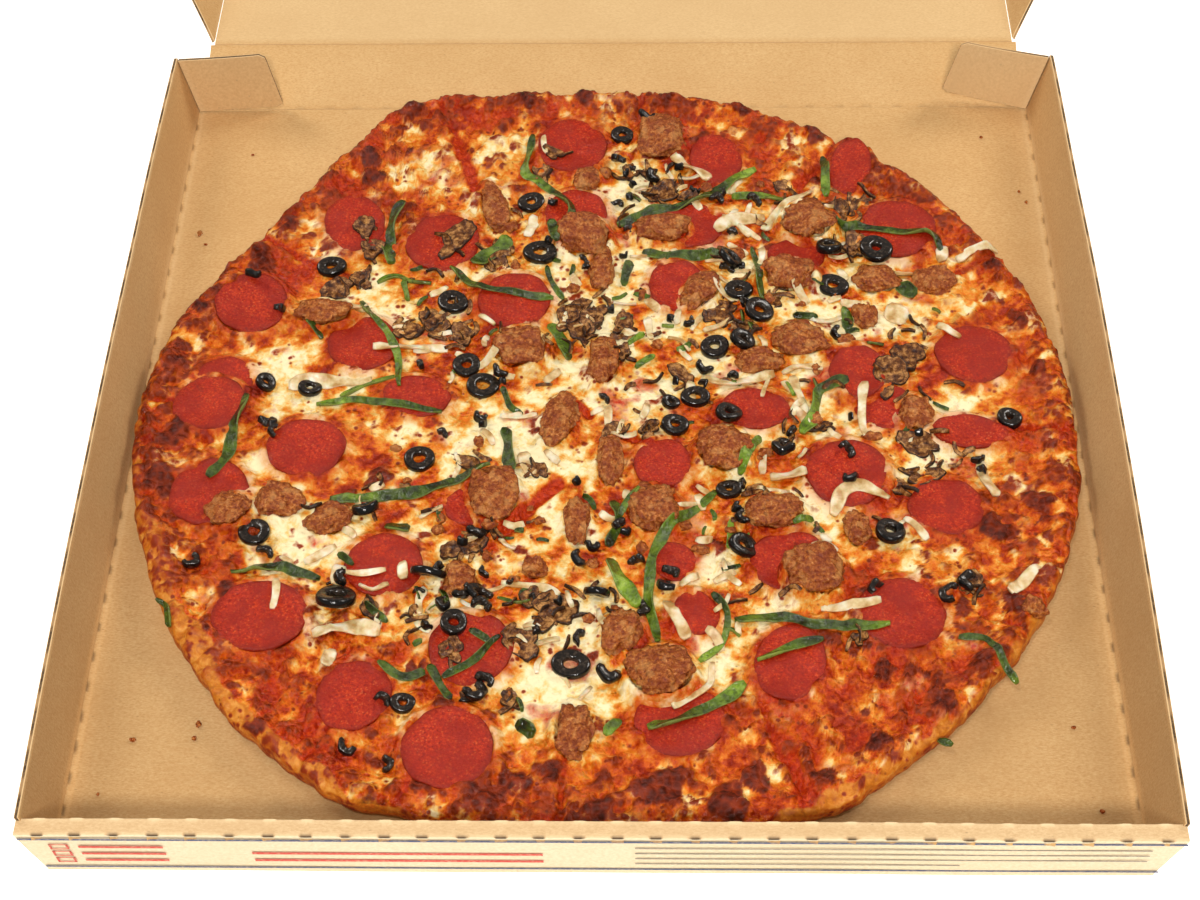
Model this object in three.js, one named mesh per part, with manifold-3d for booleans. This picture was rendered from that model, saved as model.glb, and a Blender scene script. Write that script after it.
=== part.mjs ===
// A whole combination pizza in its one-piece corrugated box, with the lid folded back.
//
// Millimetres. +X right, +Y towards the hinge of the box, +Z up.
// The origin is the middle of the tray's floor, on its underside.
import * as THREE from 'three';
import Module from 'manifold-3d';

const wasm = await Module();
wasm.setup();

// ---------------------------------------------------------------- driving dimensions
const BOARD = 2;               // E-flute corrugated board
const FLOOR_HALF_WIDTH = 230;
const FLOOR_FRONT = -234.5;
const FLOOR_BACK = 233;
const WALL_SLANT = 38.7;       // side wall, measured up its slope
const SPLAY_LEFT = 9;          // degrees that each side wall leans out
const SPLAY_RIGHT = 11.4;
const WALL_BOW = 2.5;          // the pizza pushes the middle of each rim out
const FRONT_HEIGHT = 37.5;     // top of the ledge on the rolled-over front wall
const FRONT_LEAN = 3.8;        // its outer crease hangs forward of the floor's crease
const LEDGE = 7.9;
const CREASE_GAP = 0.6;        // a hinged panel starts this far from its crease line
const GAP = 0.4;               // between solids that touch in the real thing

const BACK_WALL = 43;          // rear crease to lid crease
const BACK_REST = 15.7;        // degrees that the back wall rises when folded back
const LID_HALF_WIDTH = 225.5;
const LID_LENGTH = 459.8;      // lid crease to the crease of its front flap
const SIDE_FLAP = 24;          // depth of the lid's side flaps
const FRONT_FLAP = 22;
const FLAP_REST = 50;          // degrees that the lid's flaps stand up when it is open
const TAB_WIDTH = 47;          // rear corner tabs
const TAB_FRONT = 230.6;       // their inner face

const PIZZA_Y = 3;             // the pizza lies a little back from the middle
const PIZZA_UNDERSIDE = BOARD + GAP;
const TOPPING_LEVEL = 12.2;    // cheese surface away from the rim
const CRUST_WIDTH = 17;
const CUT_DEPTH = 1.6;
const CUT_HALF_ANGLE = 0.55;   // degrees either side of a cut line
const PEPPERONI_THICK = 2;
const SAUSAGE_HEIGHT = 8.5;

// radius of the crust's edge, [degrees from +X, mm]
const CRUST_EDGE = [
  [0, 226.5], [20, 227], [40, 227], [55, 226.5], [70, 228.5], [86, 228.5], [95, 228.5],
  [105, 235], [114, 245.5], [119, 245], [128, 230], [137, 221], [147, 217], [156, 219],
  [165, 225], [180, 227.5], [190, 228.5], [200, 227.5], [215, 231], [228, 235.5],
  [243, 236.5], [250, 231], [258, 228.5], [270, 228], [282, 228.5], [290, 234],
  [297, 235.5], [304, 232.5], [320, 230.5], [345, 228.5]];
// knife lines from the middle outwards, degrees
const CUTS = [-33.5, -2, 28, 57, 86, 113, 146.5, 178, 218, 236.5, 266, 293];

// [x, y, radius across, radius along, turn in degrees]
const PEPPERONI = [
  [-133, 132, 17, 22, 12], [-86, 118, 21, 21.5, 0], [-180, 73, 19.5, 21, 0],
  [-20, 190, 20, 22, 0], [57, 180, 15, 20, 8], [-17, 138, 18, 19, 0], [36, 87, 16, 19, 10],
  [-47, 77, 20, 20, 0], [128, 170, 12, 20, -10], [150, 125, 21.5, 21, 0],
  [97, 108, 16, 13, 0], [-193, 9, 19.5, 18.5, 0], [-121, 48, 19, 19.5, 0],
  [-143, -18, 20.5, 19, 0], [-186, -46, 20.5, 21, 0], [-92, 14, 18, 14, -8],
  [-100, -87, 19.5, 19, 0], [73, 6, 18.5, 14, -6], [28, -27, 15, 16, 0],
  [181.5, 41, 20.5, 20, 0], [124, 30, 15, 18, 0], [175, -8, 20, 11, -8],
  [160, -53, 19, 18, 0], [115, -33, 21, 21.5, 0], [86, -84, 20, 18, 0],
  [-154, -116, 23.5, 20.5, 0], [-108, -157, 18, 19.5, -20], [-65, -184, 21.5, 22, 0],
  [-58, -132, 20.5, 21, 0], [35, -169, 21.5, 19, 0], [43, -113, 11, 13, 20],
  [84, -139, 17, 22, -12], [135, -113, 21.5, 20.5, 0]];
const SAUSAGE = [
  [28, 195, 13, 16, 0], [-12, 119, 13, 12.5, 0], [28, 127, 14, 10, 0], [104, 131, 14, 14, 0],
  [92, 92, 13.5, 10, 0], [-43, 43, 14, 13, 0], [57, -21, 13, 13, 20], [-52, -46, 12, 17, 10],
  [23, -57, 12, 13.5, 0], [79, -58, 14, 10.5, 0], [96, 50, 15, 11, 0], [27, -145, 15, 14, 0],
  [97, -92, 13.5, 12.5, 0], [9, -124, 8.5, 12.5, -15], [-11, -175, 9, 14.5, 0],
  [-1, 36, 8, 15, 0], [-22, -2, 8.5, 16, -18], [-143, 66.5, 14.5, 9, -8]];
// the smaller ones are fused to the cheese
const SMALL_SAUSAGE = [
  [-12, 163, 7, 8, 0], [-60, 142, 7, 17, 14], [-3, 99, 7, 14, 0], [135, 91, 9, 9, 0],
  [166, 91, 12, 10, 0], [-153, -50, 12, 10, 0], [-128, -61, 11, 9, 20], [3, -26, 6.5, 15, 0],
  [-12, -62, 6, 14, 0], [76, 37, 13, 7.5, 0], [150, 3, 9, 10, 0], [118, -66, 6.5, 10, 0],
  [-65, -95, 8, 10, 0], [-31, -88, 6, 6, 0]];
// black olive slices, [x, y, outer radius, tilt, turn]
const OLIVES = [
  [-142, 101, 7.5, 0, 0], [7, 199, 6.5, 0, 0], [-41, 148, 7.5, 0, 0], [-35, 111, 8.5, 0, 0],
  [67, 84, 7, 0, 0], [63, 105, 7, 40, 20], [114, 112, 7.5, 25, 80], [138, 110, 8.5, 0, 0],
  [115, 88, 8, 0, 0], [-167, 22, 5.5, 30, 0], [-145, 19, 6, 20, 40], [-164, -3, 6, 60, 70],
  [-88, -25, 8, 0, 0], [-162, -69, 8, 0, 0], [-111, -56, 6.5, 45, 110], [-78, 76, 8, 0, 0],
  [-69, 35, 7.5, 0, 0], [-60, 21, 8, 10, 0], [54, 46, 7.5, 0, 0], [68, 49, 6.5, 30, 0],
  [44, 14, 7, 0, 0], [60, 1, 7, 25, 30], [34, -4, 6.5, 10, 0], [59, -43, 6, 0, 0],
  [-58, -66, 6.5, 30, 0], [77, 70, 8, 15, 0], [65, -77, 7, 35, 0], [86, -18, 6.5, 30, 90],
  [195, 0, 6, 0, 0], [133, -68, 8, 20, 60], [-190, -85, 5.5, 15, 0],
  [-120, -107, 9.5, 35, 80], [-79, -93, 7.5, 60, 80], [-86, -161, 5.5, 10, 0],
  [-108, -182, 5, 10, 0], [-55, -104, 7, 40, 30], [-66, -120, 6.5, 10, 0],
  [-13, -140, 8.5, 0, 0], [4, -144, 7, 30, 10], [-2, -104, 7.5, 60, 80], [31, -100, 6.5, 50, 70],
  [-55, -155, 7, 35, 20], [158, -103, 6.5, 30, 150], [168, -96, 6.5, 20, 0]];
// strips of green pepper, onion and mushroom: [width, x, y, x, y, ...]
const STRIPS = [
  [8, -109, 142, -114, 122, -112, 106], [4, -118, 91, -104, 94, -92, 90],
  [5, -41, 196, -45, 172, -33, 160], [5, -27, 155, -20, 142], [6, -30, 131, -26, 117],
  [7, -68, 104, -58, 112, -52, 121], [4, -80, 98, -66, 87], [4, -28, 96, -22, 82],
  [6, 8, 131, 32, 142, 56, 155, 77, 170], [5, 66, 152, 80, 152, 94, 150],
  [6, 20, 111, 42, 107, 56, 112], [5, 12, 105, 8, 90], [4, 76, 116, 78, 86],
  [5, 114, 178, 114, 154], [5, 118, 127, 126, 127], [8, 150, 88, 154, 79],
  [7, 120, 71, 121, 60], [4, -126, 79, -116, 66], [4, -108, 60, -103, 38],
  [4, -140, 10, -116, 10], [6, -176, 12, -180, -14, -184, -22], [7, -27, 60, -19, 38],
  [3.5, -51, 20, -46, 8, -40, 4], [6, -48, -6, -46, -20, -44, -33],
  [6, -126, -48, -104, -48, -84, -43], [6, -78, -40, -58, -32], [4, 14, 33, 23, 41],
  [5, 76, -12, 68, -24, 65, -34], [6, 5, -50, 3, -74], [5, 51, -46, 40, -59, 28, -73],
  [5, 25, -78, 22, -92, 22, -108], [6, 109, 24, 103, 12, 98, -4], [5, -166, -91, -140, -92],
  [7, -99, -64, -92, -66], [4, -106, -110, -97, -116], [3.5, -199, -107, -194, -112, -192, -119],
  [8, 4, -86, 10, -98, 16, -107], [3.5, 54, -106, 57, -116, 54, -127],
  [5, 62, -116, 78, -115, 92, -119, 108, -121], [4, 162, -126, 170, -129, 176, -138],
  [7, -34, -172, -29, -176], [5, 4, -176, 8, -170],
  [11, 36, 178, 48, 167], [6, 57, 129, 68, 135, 80, 137], [6, 104, 154, 96, 146, 84, 138],
  [8, 181, 106, 197, 110], [8, 147, 99, 155, 95], [8, 172, 113, 171, 104],
  [9, -154, 22, -136, 24, -118, 25], [5, -111, 46, -84, 46], [5, 50, 58, 62, 65],
  [6, 48, 27, 62, 24, 80, 28], [6, 92, 30, 95, 16, 97, 6], [6, 108, 4, 124, -10],
  [12, 143, 72, 156, 66], [5, 163, 60, 160, 51], [8, 82, -35, 94, -34],
  [6, 108, -60, 111, -58], [7, 178, -30, 182, -46], [6, 185, -102, 197, -90],
  [5, 100, -110, 112, -108], [9, -126, -126, -104, -124], [7, -120, -134, -122, -142],
  [5, -125, -88, -122, -98], [4, -44, -95, -30, -98, -20, -104], [7, 30, -112, 36, -126],
  [9, -140, 86, -128, 84], [7, -124, 112, -120, 116], [5, -68, 100, -58, 106],
  [8, 20, 151, 36, 158], [7, 93, 162, 96, 152], [9, 110, 146, 116, 151], [8, 124, 141, 132, 146],
  [8, -100, 56, -94, 60], [7, -88, 58, -76, 54], [6, -20, 70, -10, 52], [6, -6, 52, 0, 74],
  [6, 5, 56, 11, 68], [9, 48, 66, 62, 76], [10, 142, 34, 154, 44], [7, 38, 24, 37, 36],
  [5, -5, -8, 9, -10], [7, 18, -5, 26, -6], [6, -74, -27, -60, -27], [8, -68, -72, -56, -78],
  [5, -38, -35, -27, -27], [8, -30, -106, -20, -118], [8, -38, -126, -30, -138],
  [7, 138, -16, 156, -14], [6, 142, -31, 162, -32], [6, 112, -125, 117, -129],
  [7, -44, -158, -36, -160]];
const STRIP_HEIGHT = 2.6;

// ---------------------------------------------------------------- small helpers
const radians = THREE.MathUtils.degToRad;
const point = (x, y, z) => new THREE.Vector3(x, y, z);

// A closed solid from its vertices and triangles.
function solid(vertices, triangles) {
  const vertProperties = new Float32Array(vertices.flatMap((v) => [v.x, v.y, v.z]));
  const triVerts = new Uint32Array(triangles.flat());
  const mesh = new wasm.Mesh({ numProp: 3, vertProperties, triVerts });
  mesh.merge();
  return new wasm.Manifold(mesh);
}

function geometryOf(manifold) {
  const mesh = manifold.getMesh();
  const geometry = new THREE.BufferGeometry();
  geometry.setAttribute('position', new THREE.BufferAttribute(mesh.vertProperties, 3));
  geometry.setIndex(new THREE.BufferAttribute(mesh.triVerts, 1));
  return geometry;
}

// A stack of closed rings with the same number of points, capped by a fan at both ends.
function ringStack(rings, firstCap, lastCap) {
  const count = rings[0].length;
  const vertices = rings.flat();
  const triangles = [];
  for (let j = 0; j + 1 < rings.length; j += 1) {
    for (let i = 0; i < count; i += 1) {
      const a = j * count + i;
      const b = j * count + (i + 1) % count;
      triangles.push([a, b, b + count], [a, b + count, a + count]);
    }
  }
  const last = (rings.length - 1) * count;
  vertices.push(firstCap, lastCap);
  for (let i = 0; i < count; i += 1) {
    const next = (i + 1) % count;
    triangles.push([vertices.length - 2, next, i]);
    triangles.push([vertices.length - 1, last + i, last + next]);
  }
  return solid(vertices, triangles);
}

// A bent panel of board: a grid of points on one face, and the step through its thickness.
function panel(rows, step) {
  const rings = rows.map((row) => [...row, ...row.map((p) => p.clone().add(step)).reverse()]);
  const count = rings[0].length;
  const width = rows[0].length;
  const triangles = [];
  for (let j = 0; j + 1 < rings.length; j += 1) {
    for (let i = 0; i < count; i += 1) {
      const a = j * count + i;
      const b = j * count + (i + 1) % count;
      triangles.push([a, b, b + count], [a, b + count, a + count]);
    }
  }
  const last = (rings.length - 1) * count;
  for (let i = 0; i + 1 < width; i += 1) {
    const [a, b, c, d] = [i, i + 1, count - 2 - i, count - 1 - i];
    triangles.push([a, c, b], [a, d, c]);
    triangles.push([last + a, last + b, last + c], [last + a, last + c, last + d]);
  }
  const vertices = rings.flat();
  const trial = solid(vertices, triangles);
  return trial.volume() > 0 ? trial : solid(vertices, triangles.map(([a, b, c]) => [a, c, b]));
}

// ---------------------------------------------------------------- the tray
function sideWall(side, splay) {
  const lean = radians(splay);
  const root = 1.4;               // the wall starts this far down inside the floor
  const rows = [];
  for (let k = 0; k <= 8; k += 1) {
    const row = [];
    for (const up of [-root, WALL_SLANT * 0.5, WALL_SLANT]) {
      const share = Math.max(up, 0) / WALL_SLANT;
        const y = THREE.MathUtils.lerp(FLOOR_FRONT + BOARD + 1, TAB_FRONT - GAP, k / 8);
      const along = (2 * k) / 8 - 1;
      const bow = WALL_BOW * share * (1 - along * along);
      const out = FLOOR_HALF_WIDTH + up * Math.sin(lean) + bow;
      row.push(point(side * out, y, BOARD + up * Math.cos(lean)));
    }
    rows.push(row);
  }
  const step = point(side * BOARD * Math.cos(lean), 0, -BOARD * Math.sin(lean));
  return panel(rows, step);
}

// Outer wall, ledge and inner wall of the front, one folded strip of board.
function frontWall() {
  const outerTop = FLOOR_FRONT - FRONT_LEAN;
  const innerTop = outerTop + LEDGE;
  const profile = [
    [FLOOR_FRONT, 0], [outerTop, FRONT_HEIGHT], [innerTop, FRONT_HEIGHT],
    [innerTop + 0.8, BOARD - 0.5], [innerTop + 0.8 - BOARD, BOARD - 0.5],
    [innerTop - BOARD, FRONT_HEIGHT - BOARD], [outerTop + BOARD, FRONT_HEIGHT - BOARD],
    [FLOOR_FRONT + BOARD, 0]];
  const shape = new THREE.Shape(profile.map(([y, z]) => new THREE.Vector2(y, z)));
  const reach = FLOOR_HALF_WIDTH + 20;
  const blank = new THREE.ExtrudeGeometry(shape, { depth: 2 * reach, bevelEnabled: false });
  blank.applyMatrix4(new THREE.Matrix4().makeBasis(point(0, 1, 0), point(0, 0, 1), point(1, 0, 0)));
  blank.translate(-reach, 0, 0);
  // its ends follow the outer faces of the side walls
  const outline = new THREE.Shape([
    new THREE.Vector2(-endOf(0, SPLAY_LEFT), 0),
    new THREE.Vector2(endOf(0, SPLAY_RIGHT), 0),
    new THREE.Vector2(endOf(FRONT_HEIGHT, SPLAY_RIGHT), FRONT_HEIGHT),
    new THREE.Vector2(-endOf(FRONT_HEIGHT, SPLAY_LEFT), FRONT_HEIGHT)]);
  const ends = new THREE.ExtrudeGeometry(outline, { depth: 20, bevelEnabled: false });
  ends.rotateX(Math.PI / 2);
  ends.translate(0, FLOOR_FRONT + 12, 0);
  return fromGeometry(blank).intersect(fromGeometry(ends));
}

function endOf(height, splay) {
  return FLOOR_HALF_WIDTH + BOARD + Math.max(height - BOARD, 0) * Math.tan(radians(splay));
}

function fromGeometry(geometry) {
  const flat = geometry.index ? geometry.toNonIndexed() : geometry;
  const place = flat.attributes.position;
  const vertices = [];
  const triangles = [];
  for (let i = 0; i < place.count; i += 1) {
    vertices.push(new THREE.Vector3().fromBufferAttribute(place, i));
    if (i % 3 === 2) triangles.push([i - 2, i - 1, i]);
  }
  return solid(vertices, triangles);
}

function tray() {
  const floor = new THREE.BoxGeometry(2 * FLOOR_HALF_WIDTH, FLOOR_BACK - FLOOR_FRONT, BOARD);
  floor.translate(0, (FLOOR_BACK + FLOOR_FRONT) / 2, BOARD / 2);
  return fromGeometry(floor)
    .add(sideWall(-1, SPLAY_LEFT))
    .add(sideWall(1, SPLAY_RIGHT))
    .add(frontWall());
}

// A rear corner tab, folded in from the end of a side wall; `open` is how far it stands back.
function cornerTab(side, splay, bottomRise, topRise, open) {
  const lean = radians(splay);
  const hinge = (up) => point(
    side * (FLOOR_HALF_WIDTH - CREASE_GAP + up * Math.sin(lean)), TAB_FRONT, BOARD + GAP + up * Math.cos(lean));
  const inward = point(-side * Math.cos(radians(open)), Math.sin(radians(open)), 0);
  const rows = [0, 0.5, 1].map((share) => {
    const low = hinge(0.6).addScaledVector(inward, TAB_WIDTH * share);
    const high = hinge(WALL_SLANT - 1).addScaledVector(inward, TAB_WIDTH * share);
    low.z += bottomRise * share;
    high.z += topRise * share;
    return [low, high];
  });
  const through = point(side * Math.sin(radians(open)), Math.cos(radians(open)), 0);
  return panel(rows, through.multiplyScalar(BOARD));
}

// ---------------------------------------------------------------- back wall and lid
const alongBack = point(0, Math.cos(radians(BACK_REST)), Math.sin(radians(BACK_REST)));
const backCrease = point(0, FLOOR_BACK, BOARD);
const lidCrease = backCrease.clone().addScaledVector(alongBack, BACK_WALL);
const lidDrop = Math.asin((lidCrease.z - BOARD) / LID_LENGTH);
const alongLid = point(0, Math.cos(lidDrop), -Math.sin(lidDrop));
const lidUp = point(0, Math.sin(lidDrop), Math.cos(lidDrop));

function backWall() {
  const down = point(0, Math.sin(radians(BACK_REST)), -Math.cos(radians(BACK_REST)));
  const rows = [CREASE_GAP, BACK_WALL - CREASE_GAP].map((far) => [-1, 1].map((side) => {
    const place = backCrease.clone().addScaledVector(alongBack, far);
    place.x = side * (LID_HALF_WIDTH + 2);
    return place;
  }));
  return panel(rows, down.multiplyScalar(BOARD));
}

function onLid(x, far, up = 0) {
  const place = lidCrease.clone().addScaledVector(alongLid, far).addScaledVector(lidUp, up);
  place.x = x;
  return place;
}

function lidPanel() {
  const rows = [CREASE_GAP, LID_LENGTH - CREASE_GAP].map((far) => [-1, 1].map(
    (side) => onLid(side * LID_HALF_WIDTH, far)));
  return panel(rows, lidUp.clone().multiplyScalar(-BOARD));
}

// A side flap: no depth at the hinge, a 45 degree corner, then an even strip.
function sideFlap(side) {
  const rise = radians(FLAP_REST);
  const stations = [
    [3, 0.5], [3 + SIDE_FLAP, SIDE_FLAP], [LID_LENGTH - 14, SIDE_FLAP], [LID_LENGTH - 5, SIDE_FLAP * 0.5]];
  const rows = stations.map(([far, depth]) => [CREASE_GAP, CREASE_GAP + depth].map(
    (out) => onLid(side * (LID_HALF_WIDTH + out * Math.cos(rise)), far, out * Math.sin(rise))));
  const through = lidUp.clone().multiplyScalar(-BOARD * Math.cos(rise));
  through.x = side * BOARD * Math.sin(rise);
  return panel(rows, through);
}

function frontFlap() {
  const rise = radians(FLAP_REST);
  const halves = [[LID_HALF_WIDTH - 4, CREASE_GAP], [LID_HALF_WIDTH - 6, FRONT_FLAP * 0.6],
    [LID_HALF_WIDTH - 16, FRONT_FLAP]];
  const rows = halves.map(([half, out]) => [-1, 1].map((side) => onLid(
    side * half, LID_LENGTH + out * Math.cos(rise), out * Math.sin(rise))));
  const through = alongLid.clone().multiplyScalar(BOARD * Math.sin(rise))
    .addScaledVector(lidUp, -BOARD * Math.cos(rise));
  return panel(rows, through);
}

// ---------------------------------------------------------------- the pizza
function crustRadius(degrees) {
  const at = ((degrees % 360) + 360) % 360;
  const last = CRUST_EDGE.length - 1;
  let k = CRUST_EDGE.findIndex(([angle]) => angle > at);
  if (k < 0) k = last + 1;
  const [a, ra] = CRUST_EDGE[k - 1];
  const [b, rb] = k > last ? [360, CRUST_EDGE[0][1]] : CRUST_EDGE[k];
  return THREE.MathUtils.lerp(ra, rb, THREE.MathUtils.smoothstep(at, a, b));
}

// Slow rises and dips of the baked cheese and dough.
function swell(x, y) {
  return 0.5 * Math.sin(x / 23 + 1.3) * Math.sin(y / 19)
    + 0.35 * Math.sin(x / 11 - y / 14 + 0.7) + 0.3 * Math.sin(y / 8 + x / 31);
}

// Height of the crust's crest; it puffs up more at the back.
function crest(degrees) {
  const turn = radians(degrees);
  return 16.6 + 1.2 * Math.sin(turn) + 0.9 * Math.sin(9 * turn + 1) + 0.6 * Math.sin(17 * turn);
}

// Angles of the base's grid: a narrow pair each side of a cut, even steps between cuts.
function gridAngles() {
  const angles = [];
  CUTS.forEach((cut, k) => {
    const next = k + 1 < CUTS.length ? CUTS[k + 1] : CUTS[0] + 360;
    angles.push([cut - CUT_HALF_ANGLE, 0], [cut, 1], [cut + CUT_HALF_ANGLE, 0]);
    const steps = Math.round((next - cut) / 7.5);
    for (let s = 1; s < steps; s += 1) {
      angles.push([THREE.MathUtils.lerp(cut + CUT_HALF_ANGLE, next - CUT_HALF_ANGLE, s / steps), 0]);
    }
  });
  return angles;
}

// Rings of the upper surface from the middle out: [share of the radius] or mm inside the edge.
const INNER_RINGS = [0.1, 0.22, 0.34, 0.46, 0.57, 0.67, 0.76, 0.84];
const EDGE_RINGS = [[CRUST_WIDTH, 0.1], [11, 0.7], [6.5, 1], [2.8, 0.72]];
const SIDE_RINGS = [[0.5, 11], [0, 8.2], [1.2, 5], [4, PIZZA_UNDERSIDE]];

function baseRings() {
  const angles = gridAngles();
  const ring = (radiusAt, heightAt) => angles.map(([degrees, cut]) => {
    const r = radiusAt(degrees);
    const x = r * Math.cos(radians(degrees));
    const y = PIZZA_Y + r * Math.sin(radians(degrees));
    return point(x, y, heightAt(degrees, x, y, cut));
  });
  const level = (x, y) => TOPPING_LEVEL + swell(x, y);
  const top = INNER_RINGS.map((share) => ring(
    (degrees) => share * crustRadius(degrees),
    (degrees, x, y, cut) => level(x, y) - cut * CUT_DEPTH));
  EDGE_RINGS.forEach(([inside, rise]) => top.push(ring(
    (degrees) => crustRadius(degrees) - inside,
    (degrees, x, y, cut) => THREE.MathUtils.lerp(level(x, y), crest(degrees), rise) - cut * CUT_DEPTH)));
  const sides = SIDE_RINGS.map(([inside, height]) => ring(
    (degrees) => crustRadius(degrees) - inside, () => height));
  return { top, sides };
}

const { top: topRings, sides: sideRings } = baseRings();
const pizzaMiddle = point(0, PIZZA_Y, TOPPING_LEVEL + swell(0, PIZZA_Y));

function bareBase() {
  const under = point(0, PIZZA_Y, PIZZA_UNDERSIDE);
  return ringStack([...topRings, ...sideRings].reverse(), under, pizzaMiddle);
}

// Height of the bare base's facets under a place.
function facetHeight(x, y) {
  let best = -Infinity;
  const test = (a, b, c) => {
    const det = (b.y - c.y) * (a.x - c.x) + (c.x - b.x) * (a.y - c.y);
    const u = ((b.y - c.y) * (x - c.x) + (c.x - b.x) * (y - c.y)) / det;
    const v = ((c.y - a.y) * (x - c.x) + (a.x - c.x) * (y - c.y)) / det;
    if (u < -1e-9 || v < -1e-9 || u + v > 1 + 1e-9) return;
    best = Math.max(best, u * a.z + v * b.z + (1 - u - v) * c.z);
  };
  const count = topRings[0].length;
  for (let i = 0; i < count; i += 1) {
    const n = (i + 1) % count;
    const [a, b] = [topRings[0][i], topRings[0][n]];
    const outer = topRings[topRings.length - 1];
    const facing = (p) => p.x * x + (p.y - PIZZA_Y) * (y - PIZZA_Y) >= 0;
    if (!facing(outer[i]) && !facing(outer[n])) continue;
    test(a, b, pizzaMiddle);
    for (let j = 0; j + 1 < topRings.length; j += 1) {
      const [p, q, r, s] = [topRings[j][i], topRings[j][n], topRings[j + 1][n], topRings[j + 1][i]];
      test(p, q, r);
      test(p, r, s);
    }
  }
  return best;
}

// ---------------------------------------------------------------- toppings that are nodes
const placed = [];

function insideOval(piece, x, y, margin) {
  const turn = radians(piece.turn);
  const dx = x - piece.x;
  const dy = y - piece.y;
  const u = (dx * Math.cos(turn) + dy * Math.sin(turn)) / (piece.across + margin);
  const v = (-dx * Math.sin(turn) + dy * Math.cos(turn)) / (piece.along + margin);
  return u * u + v * v <= 1;
}

// Top of whatever already lies at a place, toppings included.
function surfaceHeight(x, y) {
  let height = facetHeight(x, y);
  for (const piece of placed) {
    if (insideOval(piece, x, y, 1.2)) {
      height = Math.max(height, piece.height(x, y) + piece.thick);
    }
  }
  return height;
}

// Lay an oval piece on what is under it: the plane that fits best, lifted clear of every sample.
function lay([x, y, across, along, turn], thick, most) {
  const samples = [];
  for (let u = -1; u <= 1.001; u += 0.125) {
    for (let v = -1; v <= 1.001; v += 0.125) {
      if (u * u + v * v > 1.03) continue;
      const a = u * (across + 0.8);
      const b = v * (along + 0.8);
      const c = Math.cos(radians(turn));
      const s = Math.sin(radians(turn));
      const [px, py] = [x + a * c - b * s, y + a * s + b * c];
      const height = surfaceHeight(px, py);
      if (height > 0) samples.push([px - x, py - y, height]);
    }
  }
  let [sxx, sxy, syy, sxz, syz, sz] = [0, 0, 0, 0, 0, 0];
  const mean = samples.reduce((sum, s) => sum + s[2], 0) / samples.length;
  for (const [dx, dy, h] of samples) {
    sxx += dx * dx;
    sxy += dx * dy;
    syy += dy * dy;
    sxz += dx * (h - mean);
    syz += dy * (h - mean);
    sz += h;
  }
  const det = sxx * syy - sxy * sxy;
  const limit = (slope) => THREE.MathUtils.clamp(slope, -most, most);
  const slopeX = limit((sxz * syy - syz * sxy) / det);
  const slopeY = limit((syz * sxx - sxz * sxy) / det);
  const lift = Math.max(...samples.map(([dx, dy, h]) => h - slopeX * dx - slopeY * dy));
  const level = lift + GAP;
  const piece = { x, y, across, along, turn, thick };
  piece.height = (px, py) => level + slopeX * (px - x) + slopeY * (py - y);
  placed.push(piece);
  return piece;
}

// Rings of an oval that follow the piece's plane, each [share of the radius, height].
function ovalRings(piece, profile, sides, uneven) {
  const turn = radians(piece.turn);
  return profile.map(([share, up]) => Array.from({ length: sides }, (_, k) => {
    const angle = (2 * Math.PI * k) / sides;
    const size = share * (1 + uneven * Math.sin(3 * angle + piece.x) * Math.sin(2 * angle + piece.y));
    const a = size * piece.across * Math.cos(angle);
    const b = size * piece.along * Math.sin(angle);
    const x = piece.x + a * Math.cos(turn) - b * Math.sin(turn);
    const y = piece.y + a * Math.sin(turn) + b * Math.cos(turn);
    return point(x, y, piece.height(x, y) + up);
  }));
}

function ovalSolid(piece, profile, sides, uneven, low, high) {
  const rings = ovalRings(piece, profile, sides, uneven);
  const middle = (up) => point(piece.x, piece.y, piece.height(piece.x, piece.y) + up);
  return ringStack(rings, middle(low), middle(high));
}

function pepperoni(place) {
  const piece = lay(place, PEPPERONI_THICK + GAP, 0.35);
  const rim = [[0.96, 0], [1, 0.9], [0.96, PEPPERONI_THICK]];
  return ovalSolid(piece, rim, 14, 0, 0, PEPPERONI_THICK - 0.4);
}

function sausageProfile(height) {
  return [[0.8, 0], [0.98, height * 0.38], [0.78, height * 0.78]];
}

function sausage(place) {
  const piece = lay(place, SAUSAGE_HEIGHT, 0.3);
  return ovalSolid(piece, sausageProfile(SAUSAGE_HEIGHT), 10, 0.1, 0, SAUSAGE_HEIGHT);
}

// ---------------------------------------------------------------- toppings fused to the base
function fusedSausage(place) {
  const [x, y, across, along, turn] = place;
  const sunk = 1.5;
  const piece = { x, y, across, along, turn };
  const level = facetHeight(x, y) - sunk;
  piece.height = () => level;
  return ovalSolid(piece, sausageProfile(SAUSAGE_HEIGHT), 8, 0.1, 0, SAUSAGE_HEIGHT - 0.5);
}

// A slice across a stoned olive: a thick ring, flat or leaning in the cheese.
function olive([x, y, radius, tilt, turn]) {
  const [sides, half] = [8, 2.4];
  const section = [[radius, -1], [radius * 0.72, half], [radius * 0.42, -1]];
  const profile = [...section, section[0]].map(([r, z]) => new THREE.Vector2(r, z));
  const ring = new THREE.LatheGeometry(profile, sides);
  ring.rotateX(Math.PI / 2);
  ring.rotateY(radians(tilt));
  ring.rotateZ(radians(turn));
  ring.translate(x, y, facetHeight(x, y) + 0.2 + 0.35 * radius * Math.sin(radians(tilt)));
  return fromGeometry(ring);
}

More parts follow.
